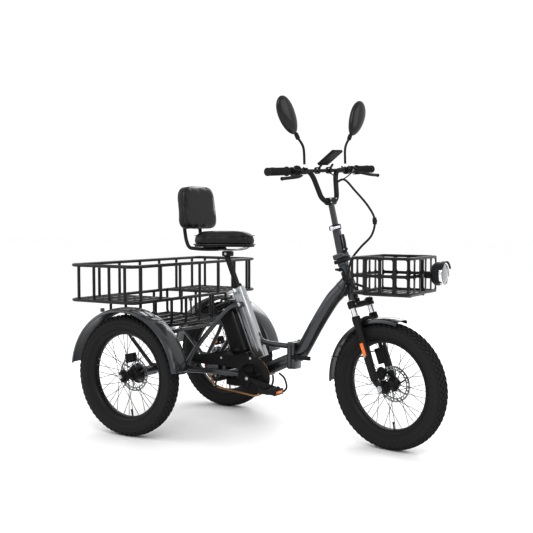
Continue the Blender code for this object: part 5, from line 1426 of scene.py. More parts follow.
@dataclass
class FrontBasket:
    """The front basket: sides of flat bars with rounded windows between tubular rims, on its carrier."""

    body: str = "front_half"
    wall: float = 0.003
    rim: float = 0.0062

    def panel(self, origin: Vector, across: Vector, width: float, height: float, columns: int, rows: int,
              rise: Vector = UP) -> Form:
        """One side: a sheet of cells, each inset and its corners rounded, then opened and thickened."""
        solid = bmesh.new()
        bmesh.ops.create_grid(solid, x_segments=columns, y_segments=rows, size=0.5)
        bmesh.ops.scale(solid, vec=(width, height, 1.0), verts=solid.verts)
        cells = solid.faces[:]
        bmesh.ops.inset_individual(solid, faces=cells, thickness=0.0062, use_even_offset=True)
        inner = [vert for face in cells for vert in face.verts]
        bmesh.ops.bevel(solid, geom=inner, offset=0.0095, segments=3, profile=0.5, affect="VERTICES",
                        clamp_overlap=True)
        holes = [face for face in solid.faces
                 if all(abs(vert.co.x) < width / 2 - 0.003 for vert in face.verts)
                 and len(face.verts) >= 12]
        bmesh.ops.delete(solid, geom=holes, context="FACES")
        bmesh.ops.recalc_face_normals(solid, faces=solid.faces)
        bmesh.ops.solidify(solid, geom=solid.faces[:], thickness=self.wall)
        out = across.cross(rise)
        place = Matrix.Translation(origin) @ Matrix((across, rise, out)).transposed().to_4x4()
        bmesh.ops.transform(solid, matrix=place, verts=solid.verts)
        return Form().absorb(solid)

    def build(self) -> None:
        """Makes the basket's five panels, rims, carrier and clamp bolts."""
        low, high = LAYOUT.box("front_basket")
        middle = (low + high) / 2
        length, width, height = high - low
        form = Form()
        inset = 0.004
        for side in (-1, 1):
            form.absorb(self.panel(Vector((middle.x, middle.y + side * (width / 2 - inset), middle.z)), AHEAD,
                                   length - 0.012, height - 0.008, 4, 2).mesh)
            form.absorb(self.panel(Vector((middle.x + side * (length / 2 - inset), middle.y, middle.z)), SIDE,
                                   width - 0.012, height - 0.008, 5, 2).mesh)
        form.absorb(self.panel(Vector((middle.x, middle.y, low.z + 0.004)), AHEAD, length - 0.010,
                               width - 0.010, 6, 7,
                               rise=SIDE).mesh)
        for z in (low.z + 0.006, high.z - 0.005):
            x0, x1 = low.x + 0.006, high.x - 0.006
            y1 = high.y - 0.006
            loop = rounded([(x0, -y1, z), (x1, -y1, z), (x1, y1, z), (x0, y1, z)], 0.016, 6, closed=True)
            form.tube(loop, self.rim, 4, closed=True)
        form.piece("front_basket_panels", Finishes.BASKET_COAT, self.body, ["front_basket"])
        self.carrier(low, high)

    def carrier(self, low: Vector, high: Vector) -> None:
        """The carrier's loops from the head tube under the basket, and its clamps."""
        form = Form()
        z = low.z - 0.0055
        for side in (-1, 1):
            form.tube(rounded([(0.934, side * 0.020, 0.708), (0.972, side * 0.036, 0.694),
                               (low.x + 0.014, side * 0.070, z), (high.x - 0.028, side * 0.070,
                                                                  z)], 0.02), 0.0052, 4)
        for x in (low.x + 0.030, (low.x + high.x) / 2, high.x - 0.036):
            form.tube([(x, -0.074, z), (x, 0.074, z)], 0.0046, 4)
        loop = [(0.925, -0.036, 0.655), (0.935, -0.036, 0.700), (0.905, -0.036, 0.764),
                (0.872, -0.030, 0.768),
                (0.862, 0.0, 0.766), (0.872, 0.030, 0.768), (0.905, 0.036, 0.764), (0.935, 0.036, 0.700),
                (0.925, 0.036, 0.655)]
        form.tube(rounded(loop, 0.016, 5), 0.0048, 4)
        form.piece("front_carrier", Finishes.SATIN_BLACK, self.body)
        bolts = Form()
        for side in (-1, 1):
            bolts.bolt((0.928, side * 0.0385, 0.700), SIDE * side, 0.0042, 0.005)
            bolts.bolt((0.905, side * 0.0385, 0.758), SIDE * side, 0.0038, 0.004)
        bolts.piece("carrier_bolts", Finishes.ALLOY, self.body)


@dataclass
class Headlight:
    """The round headlight: can with fins, chrome ring, reflector bowl, glass, visor and bracket."""

    body: str = "front_half"
    origin: Vector = field(default_factory=lambda: Vector((1.305, 0.0, 0.763)))

    def build(self) -> None:
        """Makes the lamp."""
        can = [(0.0, 0.016), (0.002, 0.020), (0.009, 0.038), (0.018, 0.0465), (0.024, 0.0485),
               (0.026, 0.0472),
               (0.029, 0.0472), (0.031, 0.0488), (0.034, 0.0488), (0.036, 0.0475), (0.052, 0.0475), (0.052,
                                                                                                     0.043)]
        form = Form().turned(can, self.origin, AHEAD, sides=64)
        visor = bmesh.new()
        line = [visor.verts.new(self.origin + Vector((x, 0.0, r))) for x,
                r in ((0.046, 0.0498), (0.066, 0.0515))]
        edge = visor.edges.new(line)
        bmesh.ops.rotate(visor, cent=self.origin, matrix=Matrix.Rotation(math.radians(-68.0), 3, AHEAD),
                         verts=line)
        bmesh.ops.spin(visor, geom=[*line, edge], cent=self.origin, axis=AHEAD, angle=math.radians(136.0),
                       steps=28)
        bmesh.ops.recalc_face_normals(visor, faces=visor.faces)
        bmesh.ops.solidify(visor, geom=visor.faces[:], thickness=-0.0018)
        bmesh.ops.recalc_face_normals(visor, faces=visor.faces)
        form.absorb(visor)
        form.box(self.origin + Vector((-0.013, 0.0, -0.006)), (0.034, 0.022, 0.028), bevel=0.004)
        form.piece("headlight_can", Finishes.BLACK_PAINT, self.body, ["headlight_body"])
        ring = [(0.0495, 0.0425), (0.0495, 0.0490), (0.0540, 0.0500), (0.0590, 0.0492), (0.0605, 0.0465),
                (0.0590, 0.0432)]
        Form().turned(ring, self.origin, AHEAD, sides=72, ring=True).piece("headlight_ring", Finishes.CHROME,
                                                                         self.body)
        bowl = [(0.0500, 0.0428), (0.0420, 0.0390), (0.0320, 0.0270), (0.0270, 0.0130), (0.0265, 0.0)]
        Form().turned(bowl, self.origin, AHEAD, sides=64).piece("headlight_bowl", Finishes.MIRROR, self.body)
        led = Form().rod(self.origin + AHEAD * 0.030, self.origin + AHEAD * 0.036, 0.012, sides=32,
                         bevel=0.002)
        led.piece("headlight_led", Finishes.LED, self.body)
        glass = [(0.0545, 0.0438), (0.0560, 0.0438), (0.0590, 0.0350), (0.0612, 0.0180), (0.0618, 0.0),
                 (0.0600, 0.0), (0.0590, 0.0180), (0.0570, 0.0350)]
        Form().turned(glass, self.origin, AHEAD, sides=64).piece(
            "headlight_glass", Finishes.GLASS, self.body, ["headlight_lens"])


# ---- front frame --------------------------------------------------------------------------------
@dataclass
class FrontFrame:
    """The front frame: curved main tube, hinge plate, head tube with its rings, and the frame latch."""

    body: str = "front_half"
    hinge_x: float = 0.6465
    span: tuple[float, float] = (0.308, 0.432)
    head_length: float = 0.175

    def build(self) -> None:
        """Makes the front frame."""
        low, high = self.span
        plate_x = self.hinge_x + 0.0098
        form = Form()
        outline = rounded([(-0.061, -0.032, 0.0), (0.061, -0.032, 0.0), (0.061, 0.032, 0.0),
                           (-0.061, 0.032, 0.0)],
                          0.012, 5, closed=True)
        form.plate([(p.x, p.y) for p in outline], (plate_x, -0.001, (low + high) / 2), AHEAD, 0.019,
                   bevel=0.002)
        third = (high - low) / 3
        form.rod((self.hinge_x, 0.044, low + third), (self.hinge_x, 0.044, high - third - 0.001), 0.0105,
                 sides=32,
                 bevel=0.001)
        form.box((self.hinge_x + 0.0095, 0.033, (low + high) / 2), (0.016, 0.018, third - 0.001), bevel=0.001)
        top = LAYOUT.head_mid
        route = flowing([(plate_x + 0.004, 0.0, 0.370), (0.684, 0.0, 0.384), (0.712, 0.0, 0.428),
                         (0.770, 0.0, 0.526),
                         (0.838, 0.0, 0.628), (0.875, 0.0, 0.668), top - AHEAD * 0.004], 7)
        form.tube(route, 0.0330, 7, squash=0.86)
        axis = LAYOUT.head_axis
        half = self.head_length / 2
        head = [(-half, 0.0185), (-half, 0.0245), (-half + 0.010, 0.0245), (-half + 0.012, 0.0220),
                (half - 0.012, 0.0220), (half - 0.010, 0.0245), (half, 0.0245), (half, 0.0185)]
        form.turned(head, top, axis, sides=56)
        form.piece("main_tube", Finishes.FRAME_PAINT, self.body, ["front_frame"])
        welds = Form()
        welds.turned(ring_section(0.0, 0.0318, 0.0022), route[4], route[5] - route[3], sides=48, ring=True)
        welds.turned(ring_section(0.0, 0.0325, 0.0022), route[-5], route[-4] - route[-6], sides=48, ring=True)
        bmesh.ops.scale(welds.mesh, vec=(1.0, 0.88, 1.0), verts=welds.mesh.verts)
        welds.piece("main_tube_welds", Finishes.FRAME_PAINT, self.body)
        cups = Form()
        for end in (-1, 1):
            at = top + axis * (end * half)
            cups.turned([(0.0002, 0.015), (0.0002, 0.0232), (0.003, 0.0240), (0.0055, 0.0225),
                         (0.0055, 0.015)], at,
                        axis * end, sides=48, ring=True)
        cups.piece("headset_cups", Finishes.SATIN_BLACK, self.body)
        self.latch()

    def latch(self) -> None:
        """The frame latch: a curved strap lever with its cam, and its pin."""
        pivot = LAYOUT.at("frame_latch_open")
        y = -0.0445
        form = Form()
        form.rod(pivot - UP * 0.0115, pivot + UP * 0.0115, 0.0088, sides=32, bevel=0.0015)
        strap = [(pivot.x + 0.002, y + 0.000, pivot.z), (pivot.x + 0.030, y - 0.0015, pivot.z),
                 (pivot.x + 0.062, y - 0.0020, pivot.z), (pivot.x + 0.088, y - 0.001, pivot.z)]
        for before, after in zip(strap, strap[1:]):
            run = Vector(after) - Vector(before)
            form.box((Vector(before) + Vector(after)) / 2, (0.018, 0.0058, run.length + 0.004), run,
                     bevel=0.0018,
                     across=SIDE)
        form.piece("frame_latch_strap", Finishes.BLACK_PAINT, "frame_latch", ["frame_latch_lever"])
        pin = Form().rod(pivot - UP * 0.0135, pivot + UP * 0.0135, 0.0036, sides=20, bevel=0.0006)
        pin.piece("frame_latch_pin", Finishes.STEEL, "frame_latch")


# ---- fork ---------------------------------------------------------------------------------------
def head_spot(along: float, ahead: float = 0.0, side: float = 0.0) -> Vector:
    """A point by its height along the steering axis, its distance ahead of it and to the side."""
    axis = LAYOUT.head_axis
    return LAYOUT.head_mid + axis * along + SIDE.cross(axis) * ahead + SIDE * side


@dataclass
class Fork:
    """The suspension fork: crown with leg caps, chrome stanchions, lowers with arch, reflectors and drop-outs."""

    leg_y: float = 0.064
    offset: float = 0.029

    def crown(self) -> None:
        """The crown, its leg caps, the steerer and the stanchions."""
        axis = LAYOUT.head_axis
        ahead = SIDE.cross(axis)
        form = Form()
        form.box(head_spot(-0.106, self.offset / 2), (0.048, 0.098, 0.024), axis, bevel=0.007, segments=5)
        for side in (-1, 1):
            form.turned([(-0.015, 0.0150), (-0.014, 0.0188), (0.014, 0.0188), (0.016, 0.0165),
                         (0.018, 0.0115)],
                        head_spot(-0.104, self.offset, side * self.leg_y), axis, sides=48)
            form.box(head_spot(-0.106, self.offset * 0.75, side * 0.050), (0.034, 0.032, 0.022), axis,
                     bevel=0.006)
        form.rod(head_spot(-0.110), head_spot(-0.0895), 0.0235, sides=40, bevel=0.002)
        form.piece("fork_crown_cast", Finishes.BLACK_PAINT, "steering", ["fork_crown"], Heading.STEERED)
        knobs = Form()
        for side in (-1, 1):
            at = head_spot(-0.087, self.offset, side * self.leg_y)
            knobs.rod(at, at + axis * 0.004, 0.0098, sides=18, bevel=0.001)
            knobs.bolt(head_spot(-0.104, self.offset + 0.0185, side * self.leg_y), ahead, 0.0030, 0.003)
        knobs.piece("fork_caps", Finishes.ALLOY, "steering", heading=Heading.STEERED)
        tubes = Form()
        for side in (-1, 1):
            tubes.rod(head_spot(-0.290, self.offset, side * self.leg_y),
                      head_spot(-0.112, self.offset, side * self.leg_y), 0.0132, sides=40)
        tubes.rod(head_spot(-0.10), head_spot(0.106), 0.0143, sides=36)
        tubes.piece("stanchions", Finishes.CHROME, "steering", heading=Heading.STEERED)

    def lowers(self) -> None:
        """The lower legs, wiper seals, arch, drop-outs, axle nuts, reflectors and caliper mount."""
        axis = LAYOUT.head_axis
        axle = LAYOUT.at("front_wheel_spin", Heading.STEERED)
        form, seals, lamps, nuts = Form(), Form(), Form(), Form()
        for side in (-1, 1):
            foot = head_spot(-0.440, self.offset, side * self.leg_y)
            length = 0.278
            profile = [(0.0, 0.0120), (0.004, 0.0158), (0.060, 0.0170), (0.150, 0.0172),
                       (length - 0.030, 0.0172),
                       (length - 0.026, 0.0190), (length - 0.006, 0.0192), (length - 0.002, 0.0178), (length,
                                                                                                      0.0150)]
            form.turned(profile, foot, axis, sides=48)
            middle = (foot + axle + SIDE * (side * self.leg_y)) / 2
            reach = axle + SIDE * (side * self.leg_y) - foot
            form.box(middle + axis * 0.004, (0.026, 0.0115, reach.length + 0.028), reach, bevel=0.004)
            form.rod(axle + SIDE * (side * (self.leg_y - 0.006)),
                     axle + SIDE * (side * (self.leg_y + 0.006)), 0.0165,
                     sides=40, bevel=0.002)
            seals.turned([(0.0, 0.0140), (0.0, 0.0186), (0.006, 0.0180), (0.008, 0.0160), (0.008, 0.0140)],
                         head_spot(-0.1625, self.offset, side * self.leg_y), axis, sides=44, ring=True)
            at = axle + SIDE * (side * (self.leg_y + 0.006))
            nuts.rod(at, at + SIDE * side * 0.0015, 0.0125, sides=32)
            nuts.rod(at + SIDE * side * 0.0015, at + SIDE * side * 0.0095, 0.0088, sides=6, bevel=0.0008)
            nuts.rod(at + SIDE * side * 0.009, at + SIDE * side * 0.0155, 0.0050, sides=20, bevel=0.0008)
            glow = head_spot(-0.300, self.offset, side * (self.leg_y + 0.0168))
            lamps.box(glow, (0.017, 0.0055, 0.058), axis, bevel=0.002)
        form.box(head_spot(-0.1785, self.offset + 0.002), (0.020, 2 * self.leg_y - 0.020, 0.014), axis,
                 bevel=0.004)
        arch = [head_spot(-0.186, self.offset + 0.004, -self.leg_y + 0.008),
                head_spot(-0.176, self.offset + 0.006, -0.030), head_spot(-0.172, self.offset + 0.007, 0.0),
                head_spot(-0.176, self.offset + 0.006, 0.030),
                head_spot(-0.186, self.offset + 0.004, self.leg_y - 0.008)]
        form.tube(flowing(arch, 5), 0.0085, 5)
        form.box(head_spot(-0.345, self.offset - 0.022, self.leg_y - 0.012), (0.034, 0.010, 0.070), axis,
                 bevel=0.003)
        form.piece("fork_lower_legs", Finishes.BLACK_PAINT, "fork_lower", ["fork_lowers"], Heading.STEERED)
        seals.piece("fork_seals", Finishes.MOULDED, "fork_lower", heading=Heading.STEERED)
        nuts.piece("front_axle_nuts", Finishes.STEEL, "fork_lower", heading=Heading.STEERED)
        lamps.piece("fork_reflectors", Finishes.AMBER, "fork_lower", heading=Heading.STEERED)

    def build(self) -> None:
        """Makes the fork."""
        self.crown()
        self.lowers()


# ---- stem and handlebar -------------------------------------------------------------------------
@dataclass
class Stem:
    """The folding stem: base with hinge, tapered tube, collar and both levers."""

    lean: float = 12.5
    foot: Vector = field(default_factory=lambda: Vector((0.8925, 0.0, 0.803)))
    rise: Vector = field(init=False)

    def __post_init__(self) -> None:
        """Works out the stem's direction."""
        self.rise = leaned(self.lean)

    def spot(self, along: float, ahead: float = 0.0, side: float = 0.0) -> Vector:
        """A point by its height along the stem, its distance ahead and to the side."""
        return self.foot + self.rise * along + SIDE.cross(self.rise) * ahead + SIDE * side

    def base(self) -> None:
        """The lower hinge half on the steerer."""
        axis = LAYOUT.head_axis
        form = Form()
        form.turned([(0.0, 0.018), (0.001, 0.0245), (0.010, 0.0245), (0.013, 0.0215), (0.018, 0.0210)],
                    head_spot(0.0885 + 0.0055), axis, sides=44)
        form.box(head_spot(0.0985), (0.058, 0.052, 0.016), axis, bevel=0.004)
        form.piece("stem_base_casting", Finishes.BLACK_PAINT, "steering", ["stem_base"], Heading.STEERED)
        hinge = Form()
        pivot = LAYOUT.at("stem_fold", Heading.STEERED)
        along = LAYOUT.axis("stem_fold", Heading.STEERED)
        hinge.rod(pivot - along * 0.026, pivot + along * 0.026, 0.0045, sides=24, bevel=0.0008)
        hinge.rod(pivot + along * 0.024, pivot + along * 0.028, 0.0075, sides=6, bevel=0.0006)
        hinge.piece("stem_hinge_pin", Finishes.STEEL, "steering", heading=Heading.STEERED)

    def tube(self) -> None:
        """The stem's tube with its lower block, weld and collar."""
        form = Form()
        form.turned([(0.020, 0.0215), (0.028, 0.0200), (0.040, 0.0190), (0.150, 0.0186), (0.160, 0.0186),
                     (0.160, 0.0140)], self.foot, self.rise, sides=56)
        form.box(head_spot(0.1200), (0.056, 0.052, 0.0235), LAYOUT.head_axis, bevel=0.006, segments=4)
        pivot = LAYOUT.at("stem_fold", Heading.STEERED)
        along = LAYOUT.axis("stem_fold", Heading.STEERED)
        form.rod(pivot - along * 0.020, pivot + along * 0.020, 0.0095, sides=36, bevel=0.0015)
        form.piece("stem_lower_tube", Finishes.FRAME_PAINT, "stem", ["stem_tube"], Heading.STEERED)
        weld = Form().turned(ring_section(0.0, 0.0205, 0.0022), self.spot(0.024), self.rise, sides=44,
                             ring=True)
        weld.piece("stem_weld", Finishes.FRAME_PAINT, "stem", heading=Heading.STEERED)
        collar = Form().turned([(0.0, 0.0142), (0.0, 0.0215), (0.002, 0.0230), (0.020, 0.0230),
                                (0.022, 0.0215),
                                (0.022, 0.0142)], self.spot(0.142), self.rise, sides=52, ring=True)
        collar.box(self.spot(0.153, -0.026), (0.014, 0.016, 0.020), self.rise, bevel=0.003)
        collar.piece("stem_collar", Finishes.BLACK_PAINT, "stem", heading=Heading.STEERED)

    def levers(self) -> None:
        """The stem latch lever and the collar's quick-release lever."""
        for joint, node, body, finish, heading in (
                ("stem_latch_open", "stem_latch_lever", "stem_latch", Finishes.BLACK_PAINT, Heading.STEERED),
                ("post_clamp_open", "post_clamp_lever", "post_clamp", Finishes.ALLOY, Heading.STEERED),
                ("seat_clamp_open", "seat_clamp_lever", "seat_clamp", Finishes.ALLOY, Heading.FIXED)):
            self.lever(joint, node, body, finish, heading)

    def lever(self, joint: str, node: str, body: str, finish: Finishes, heading: Heading) -> None:
        """A cam lever: its boss on the pivot and a curved, tapering blade out to the far end of its CAD box."""
        pivot = LAYOUT.at(joint, heading)
        axis = LAYOUT.axis(joint, heading)
        reach = (LAYOUT.middle(node, heading) - pivot) * 2.0
        reach -= axis * reach.dot(axis)
        length = reach.length * 0.90
        along = reach.normalized()
        normal = axis.cross(along)
        form = Form().rod(pivot - axis * 0.0085, pivot + axis * 0.0085, 0.0078, sides=32, bevel=0.0015)
        for step in range(6):
            share, following = step / 6, (step + 1) / 6
            start = pivot + along * (length * share) + normal * (0.0022 * math.sin(math.pi * share))
            end = pivot + along * (length * following) + normal * (0.0022 * math.sin(math.pi * following))
            wide = 0.0140 - 0.0040 * share
            form.box((start + end) / 2, (0.0062, wide, (end - start).length + 0.002), end - start,
                     bevel=0.0014,
                     across=axis)
        form.piece(f"{node}_blade", finish, body, [node], heading)
        pin = Form().rod(pivot - axis * 0.0105, pivot + axis * 0.0105, 0.0034, sides=20, bevel=0.0006)
        pin.piece(f"{node}_pin", Finishes.STEEL, body, heading=heading)
        if body == "stem_latch":
            root = self.spot(0.020)
            lug = Form().box((pivot + root) / 2, (0.018, 0.022, (pivot - root).length - 0.012), pivot - root,
                             bevel=0.003, across=axis)
            lug.piece("stem_latch_lug", Finishes.BLACK_PAINT, "stem", heading=heading)

    def build(self) -> None:
        """Makes the stem."""
        self.base()
        self.tube()
        self.levers()


@dataclass
class Handlebar:
    """The telescopic post, its clamp, the riser bar, grips, controls, display and mirrors."""

    body: str = "bar"
    x: float = 0.797
    z: float = 1.203
    half: float = 0.372
    bar_radius: float = 0.011
    grip_radius: float = 0.0165
    grip_length: float = 0.130

    def post(self, stem: Stem) -> None:
        """The post and the four-bolt clamp that holds the bar."""
        low, high = stem.spot(0.095), stem.spot(0.258)
        Form().rod(low, high, 0.0133, sides=44).piece("bar_post", Finishes.FRAME_PAINT, self.body,
                                                      ["handlebar_post"], Heading.STEERED)
        head = stem.spot(0.270)
        form = Form()
        form.box(head, (0.038, 0.056, 0.022), stem.rise, bevel=0.006, segments=4)
        form.rod(head - SIDE * 0.028, head + SIDE * 0.028, 0.0165, sides=40, bevel=0.002)
        form.piece("bar_clamp", Finishes.BLACK_PAINT, self.body, heading=Heading.STEERED)
        ahead = SIDE.cross(stem.rise)
        bolts = Form()
        for side in (-1, 1):
            for lift in (-1, 1):
                bolts.bolt(head + ahead * 0.0168 + SIDE * (side * 0.020) + stem.rise * (lift * 0.0075),
                           ahead, 0.0028,
                           0.004)
        bolts.piece("bar_clamp_bolts", Finishes.ALLOY, self.body, heading=Heading.STEERED)

    def bar(self, stem: Stem) -> None:
        """The bent bar: level at the grips, dropping to the clamp, and the brace between its bends."""
        head = stem.spot(0.270)
        half = [(self.x, self.half, self.z), (self.x, 0.150, self.z), (self.x, 0.100, self.z - 0.002),
                (self.x + 0.007, 0.080, self.z - 0.028), (head.x - 0.008, 0.056, head.z + 0.018),
                (head.x, 0.034, head.z)]
        route = half + [(x, -y, z) for x, y, z in reversed(half)]
        form = Form().tube(rounded(route, 0.024, 6), self.bar_radius, 6)
        form.tube([(self.x, -0.092, self.z - 0.001), (self.x, 0.092, self.z - 0.001)], 0.0075, 5)
        form.piece("bent_bar", Finishes.BLACK_PAINT, self.body, ["handlebar"], Heading.STEERED)

    def grips(self) -> None:
        """The grips: raised ribs and a palm pad between two flanges, and an end plug."""
        for side, name in ((-1.0, "right"), (1.0, "left")):
            start = Vector((self.x, side * (self.half + 0.006 - self.grip_length), self.z))
            profile = [(0.0, 0.0118), (0.0, 0.0192), (0.002, 0.0202), (0.005, 0.0202), (0.007, 0.0185)]
            reach = 0.012
            while reach < self.grip_length - 0.016:
                profile += [(reach, 0.0152), (reach + 0.0010, self.grip_radius),
                            (reach + 0.0030, self.grip_radius),
                            (reach + 0.0040, 0.0152)]
                reach += 0.0052
            end = self.grip_length
            profile += [(end - 0.010, 0.0165), (end - 0.006, 0.0175), (end - 0.002, 0.0168), (end, 0.0135)]
            form = Form().turned(profile, start, SIDE * side, sides=48)
            form.ball(start + SIDE * (side * 0.090) - AHEAD * 0.004 + UP * 0.004, (0.015, 0.034, 0.014))
            form.piece(f"grip_{name}_ribbed", Finishes.GRIP_RUBBER, self.body, [f"grip_{name}"],
                       Heading.STEERED)

    def controls(self) -> None:
        """Brake lever clamps and blades, switch pods and the twist shifter."""
        for side, name in ((-1.0, "right"), (1.0, "left")):
            pivot = LAYOUT.at(f"brake_{name}_pull", Heading.STEERED)
            clamp = Form()
            at = Vector((self.x, side * 0.216, self.z))
            clamp.turned([(-0.008, 0.0112), (-0.008, 0.0160), (-0.006, 0.0172), (0.006, 0.0172),
                          (0.008, 0.0160),
                          (0.008, 0.0112)], at, SIDE, sides=40, ring=True)
            clamp.box((at + pivot) / 2 + AHEAD * 0.002 + UP * 0.003, (0.030, 0.018, 0.020), UP, bevel=0.004)
            clamp.box(pivot + Vector((0.0, 0.0, 0.0105)), (0.026, 0.022, 0.004), UP, bevel=0.0015)
            clamp.box(pivot - Vector((0.0, 0.0, 0.0105)), (0.026, 0.022, 0.004), UP, bevel=0.0015)
            clamp.rod(pivot + Vector((0.004, -side * 0.004, 0.0)),
                      pivot + Vector((0.012, -side * 0.032, 0.002)), 0.0052,
                      sides=20, bevel=0.001)
            clamp.piece(f"brake_{name}_clamp", Finishes.MOULDED, self.body, heading=Heading.STEERED)
            blade = Form()
            tip = Vector((pivot.x + 0.022, side * 0.345, pivot.z - 0.020))
            path = flowing([pivot, pivot + Vector((0.026, side * 0.020, -0.008)),
                            pivot + Vector((0.034, side * 0.060, -0.015)), tip], 5)
            for before, after in zip(path, path[1:]):
                run = after - before
                blade.box((before + after) / 2, (0.0130, 0.0062, run.length + 0.0025), run, bevel=0.0018,
                          across=AHEAD)
            blade.ball(tip, (0.0080, 0.0080, 0.0080), detail=20)
            blade.rod(pivot - UP * 0.008, pivot + UP * 0.008, 0.0085, sides=28, bevel=0.001)
            blade.piece(f"brake_{name}_blade", Finishes.BLACK_PAINT, f"brake_{name[0]}",
                        [f"brake_lever_{name}"],
                        Heading.STEERED)
        pod = Form()
        pod.turned([(-0.013, 0.0112), (-0.013, 0.0175), (-0.011, 0.0195), (0.011, 0.0195), (0.013, 0.0175),
                    (0.013, 0.0112)], (self.x, 0.176, self.z), SIDE, sides=40, ring=True)
        pod.box((self.x - 0.016, 0.176, self.z + 0.004), (0.016, 0.024, 0.030), bevel=0.004)
        pod.piece("switch_pod", Finishes.MOULDED, self.body, heading=Heading.STEERED)
        keys = Form()
        for lift, finish_side in ((0.010, -1), (-0.002, 1)):
            keys.rod((self.x - 0.0235, 0.176 + finish_side * 0.004, self.z + lift),
                     (self.x - 0.0262, 0.176 + finish_side * 0.004,
                      self.z + lift), 0.0042, sides=24, bevel=0.0008)
        keys.piece("switch_keys", Finishes.RED, self.body, heading=Heading.STEERED)
        at = LAYOUT.at("shift_push", Heading.STEERED)
        shift = Form()
        shift.turned([(-0.0055, 0.0123), (-0.0055, 0.0215), (-0.004, 0.0238), (0.004, 0.0238),
                      (0.0055, 0.0215),
                      (0.0055, 0.0123)], at, SIDE, sides=56, ring=True)
        shift.box(at + Vector((-0.020, 0.0, -0.024)), (0.028, 0.009, 0.015), bevel=0.003)
        for number in range(5):
            shift.box(at + Vector((-0.031 + number * 0.005, 0.0, -0.0318)), (0.002, 0.009, 0.002),
                      bevel=0.0005)
        shift.piece("shift_ring_and_paddle", Finishes.MOULDED, "shifter", ["shift_lever"], Heading.STEERED)
        face = Form().rod(at - SIDE * 0.0055, at - SIDE * 0.0062, 0.0195, sides=48)
        face.turned([(0.0060, 0.0125), (0.0060, 0.0190), (0.0100, 0.0180), (0.0100, 0.0125)], at, SIDE,
                    sides=48,
                    ring=True)
        face.piece("shift_housing", Finishes.SATIN_BLACK, self.body, heading=Heading.STEERED)

    def display(self) -> None:
        """The display: a thin case on two bar clamps, and its glass."""
        pivot = LAYOUT.at("display_tilt", Heading.STEERED)
        tilt = Vector((-0.55, 0.0, 0.84)).normalized()
        middle = pivot + Vector((0.040, 0.0, 0.040))
        form = Form().box(middle, (0.104, 0.071, 0.0125), tilt, bevel=0.0045, segments=4)
        form.piece("display_case", Finishes.MOULDED, "display", ["display_unit"], Heading.STEERED)
        glass = Form().box(middle + tilt * 0.0064, (0.078, 0.060, 0.0012), tilt, bevel=0.0005)
        glass.piece("display_window", Finishes.SCREEN, "display", heading=Heading.STEERED)
        arms = Form()
        for side in (-1, 1):
            arms.turned([(-0.007, 0.0112), (-0.007, 0.0150), (0.007, 0.0150), (0.007, 0.0112)],
                        (self.x, side * 0.041, self.z), SIDE, sides=36, ring=True)
            arms.tube([(self.x + 0.010, side * 0.041, self.z + 0.010),
                       (self.x + 0.024, side * 0.040, self.z + 0.026)],
                      0.0048, 4)
        arms.piece("display_clamps", Finishes.MOULDED, self.body, heading=Heading.STEERED)
        bolts = Form()
        for side in (-1, 1):
            bolts.bolt((self.x - 0.0145, side * 0.041, self.z), -AHEAD, 0.0028, 0.003)
        bolts.piece("display_bolts", Finishes.ALLOY, self.body, heading=Heading.STEERED)

    def mirrors(self) -> None:
        """The mirrors: chrome-collared foot, bent stalk with a boot, drop-shaped shell and its glass."""
        for side, name in ((-1.0, "right"), (1.0, "left")):
            body = f"mirror_{name[0]}"
            foot = LAYOUT.at(f"mirror_{name}_swivel", Heading.STEERED)
            neck = foot + Vector((-0.002, side * 0.040, 0.130))
            stalk = Form().tube(flowing([foot + UP * 0.010, foot + Vector((0.0, side * 0.004, 0.085)), neck,
                                         neck + Vector((0.0, side * 0.030, 0.035))], 7), 0.0052, 5)
            boot = [(-0.010, 0.0068), (-0.006, 0.0098), (0.0, 0.0085), (0.003, 0.0100), (0.009, 0.0086),
                    (0.012, 0.0098), (0.020, 0.0070)]
            stalk.turned(boot, neck, Vector((0.0, side * 0.55, 0.84)), sides=32)
            stalk.piece(f"mirror_{name}_stalk", Finishes.MOULDED, body, [f"mirror_{name}"], Heading.STEERED)
            collar = Form().turned([(-0.0015, 0.006), (-0.0015, 0.0118), (0.002, 0.0126), (0.010, 0.0105),
                                    (0.014, 0.0075), (0.014, 0.0052)], foot, UP, sides=40)
            collar.piece(f"mirror_{name}_collar", Finishes.CHROME, body, heading=Heading.STEERED)
            ring = Form().turned([(-0.008, 0.0112), (-0.008, 0.0150), (0.008, 0.0150), (0.008, 0.0112)],
                                 (self.x, foot.y, self.z), SIDE, sides=40, ring=True)
            ring.piece(f"mirror_{name}_clamp", Finishes.MOULDED, self.body, heading=Heading.STEERED)
            self.mirror_head(neck + Vector((0.0, side * 0.062, 0.090)), side, name, body)

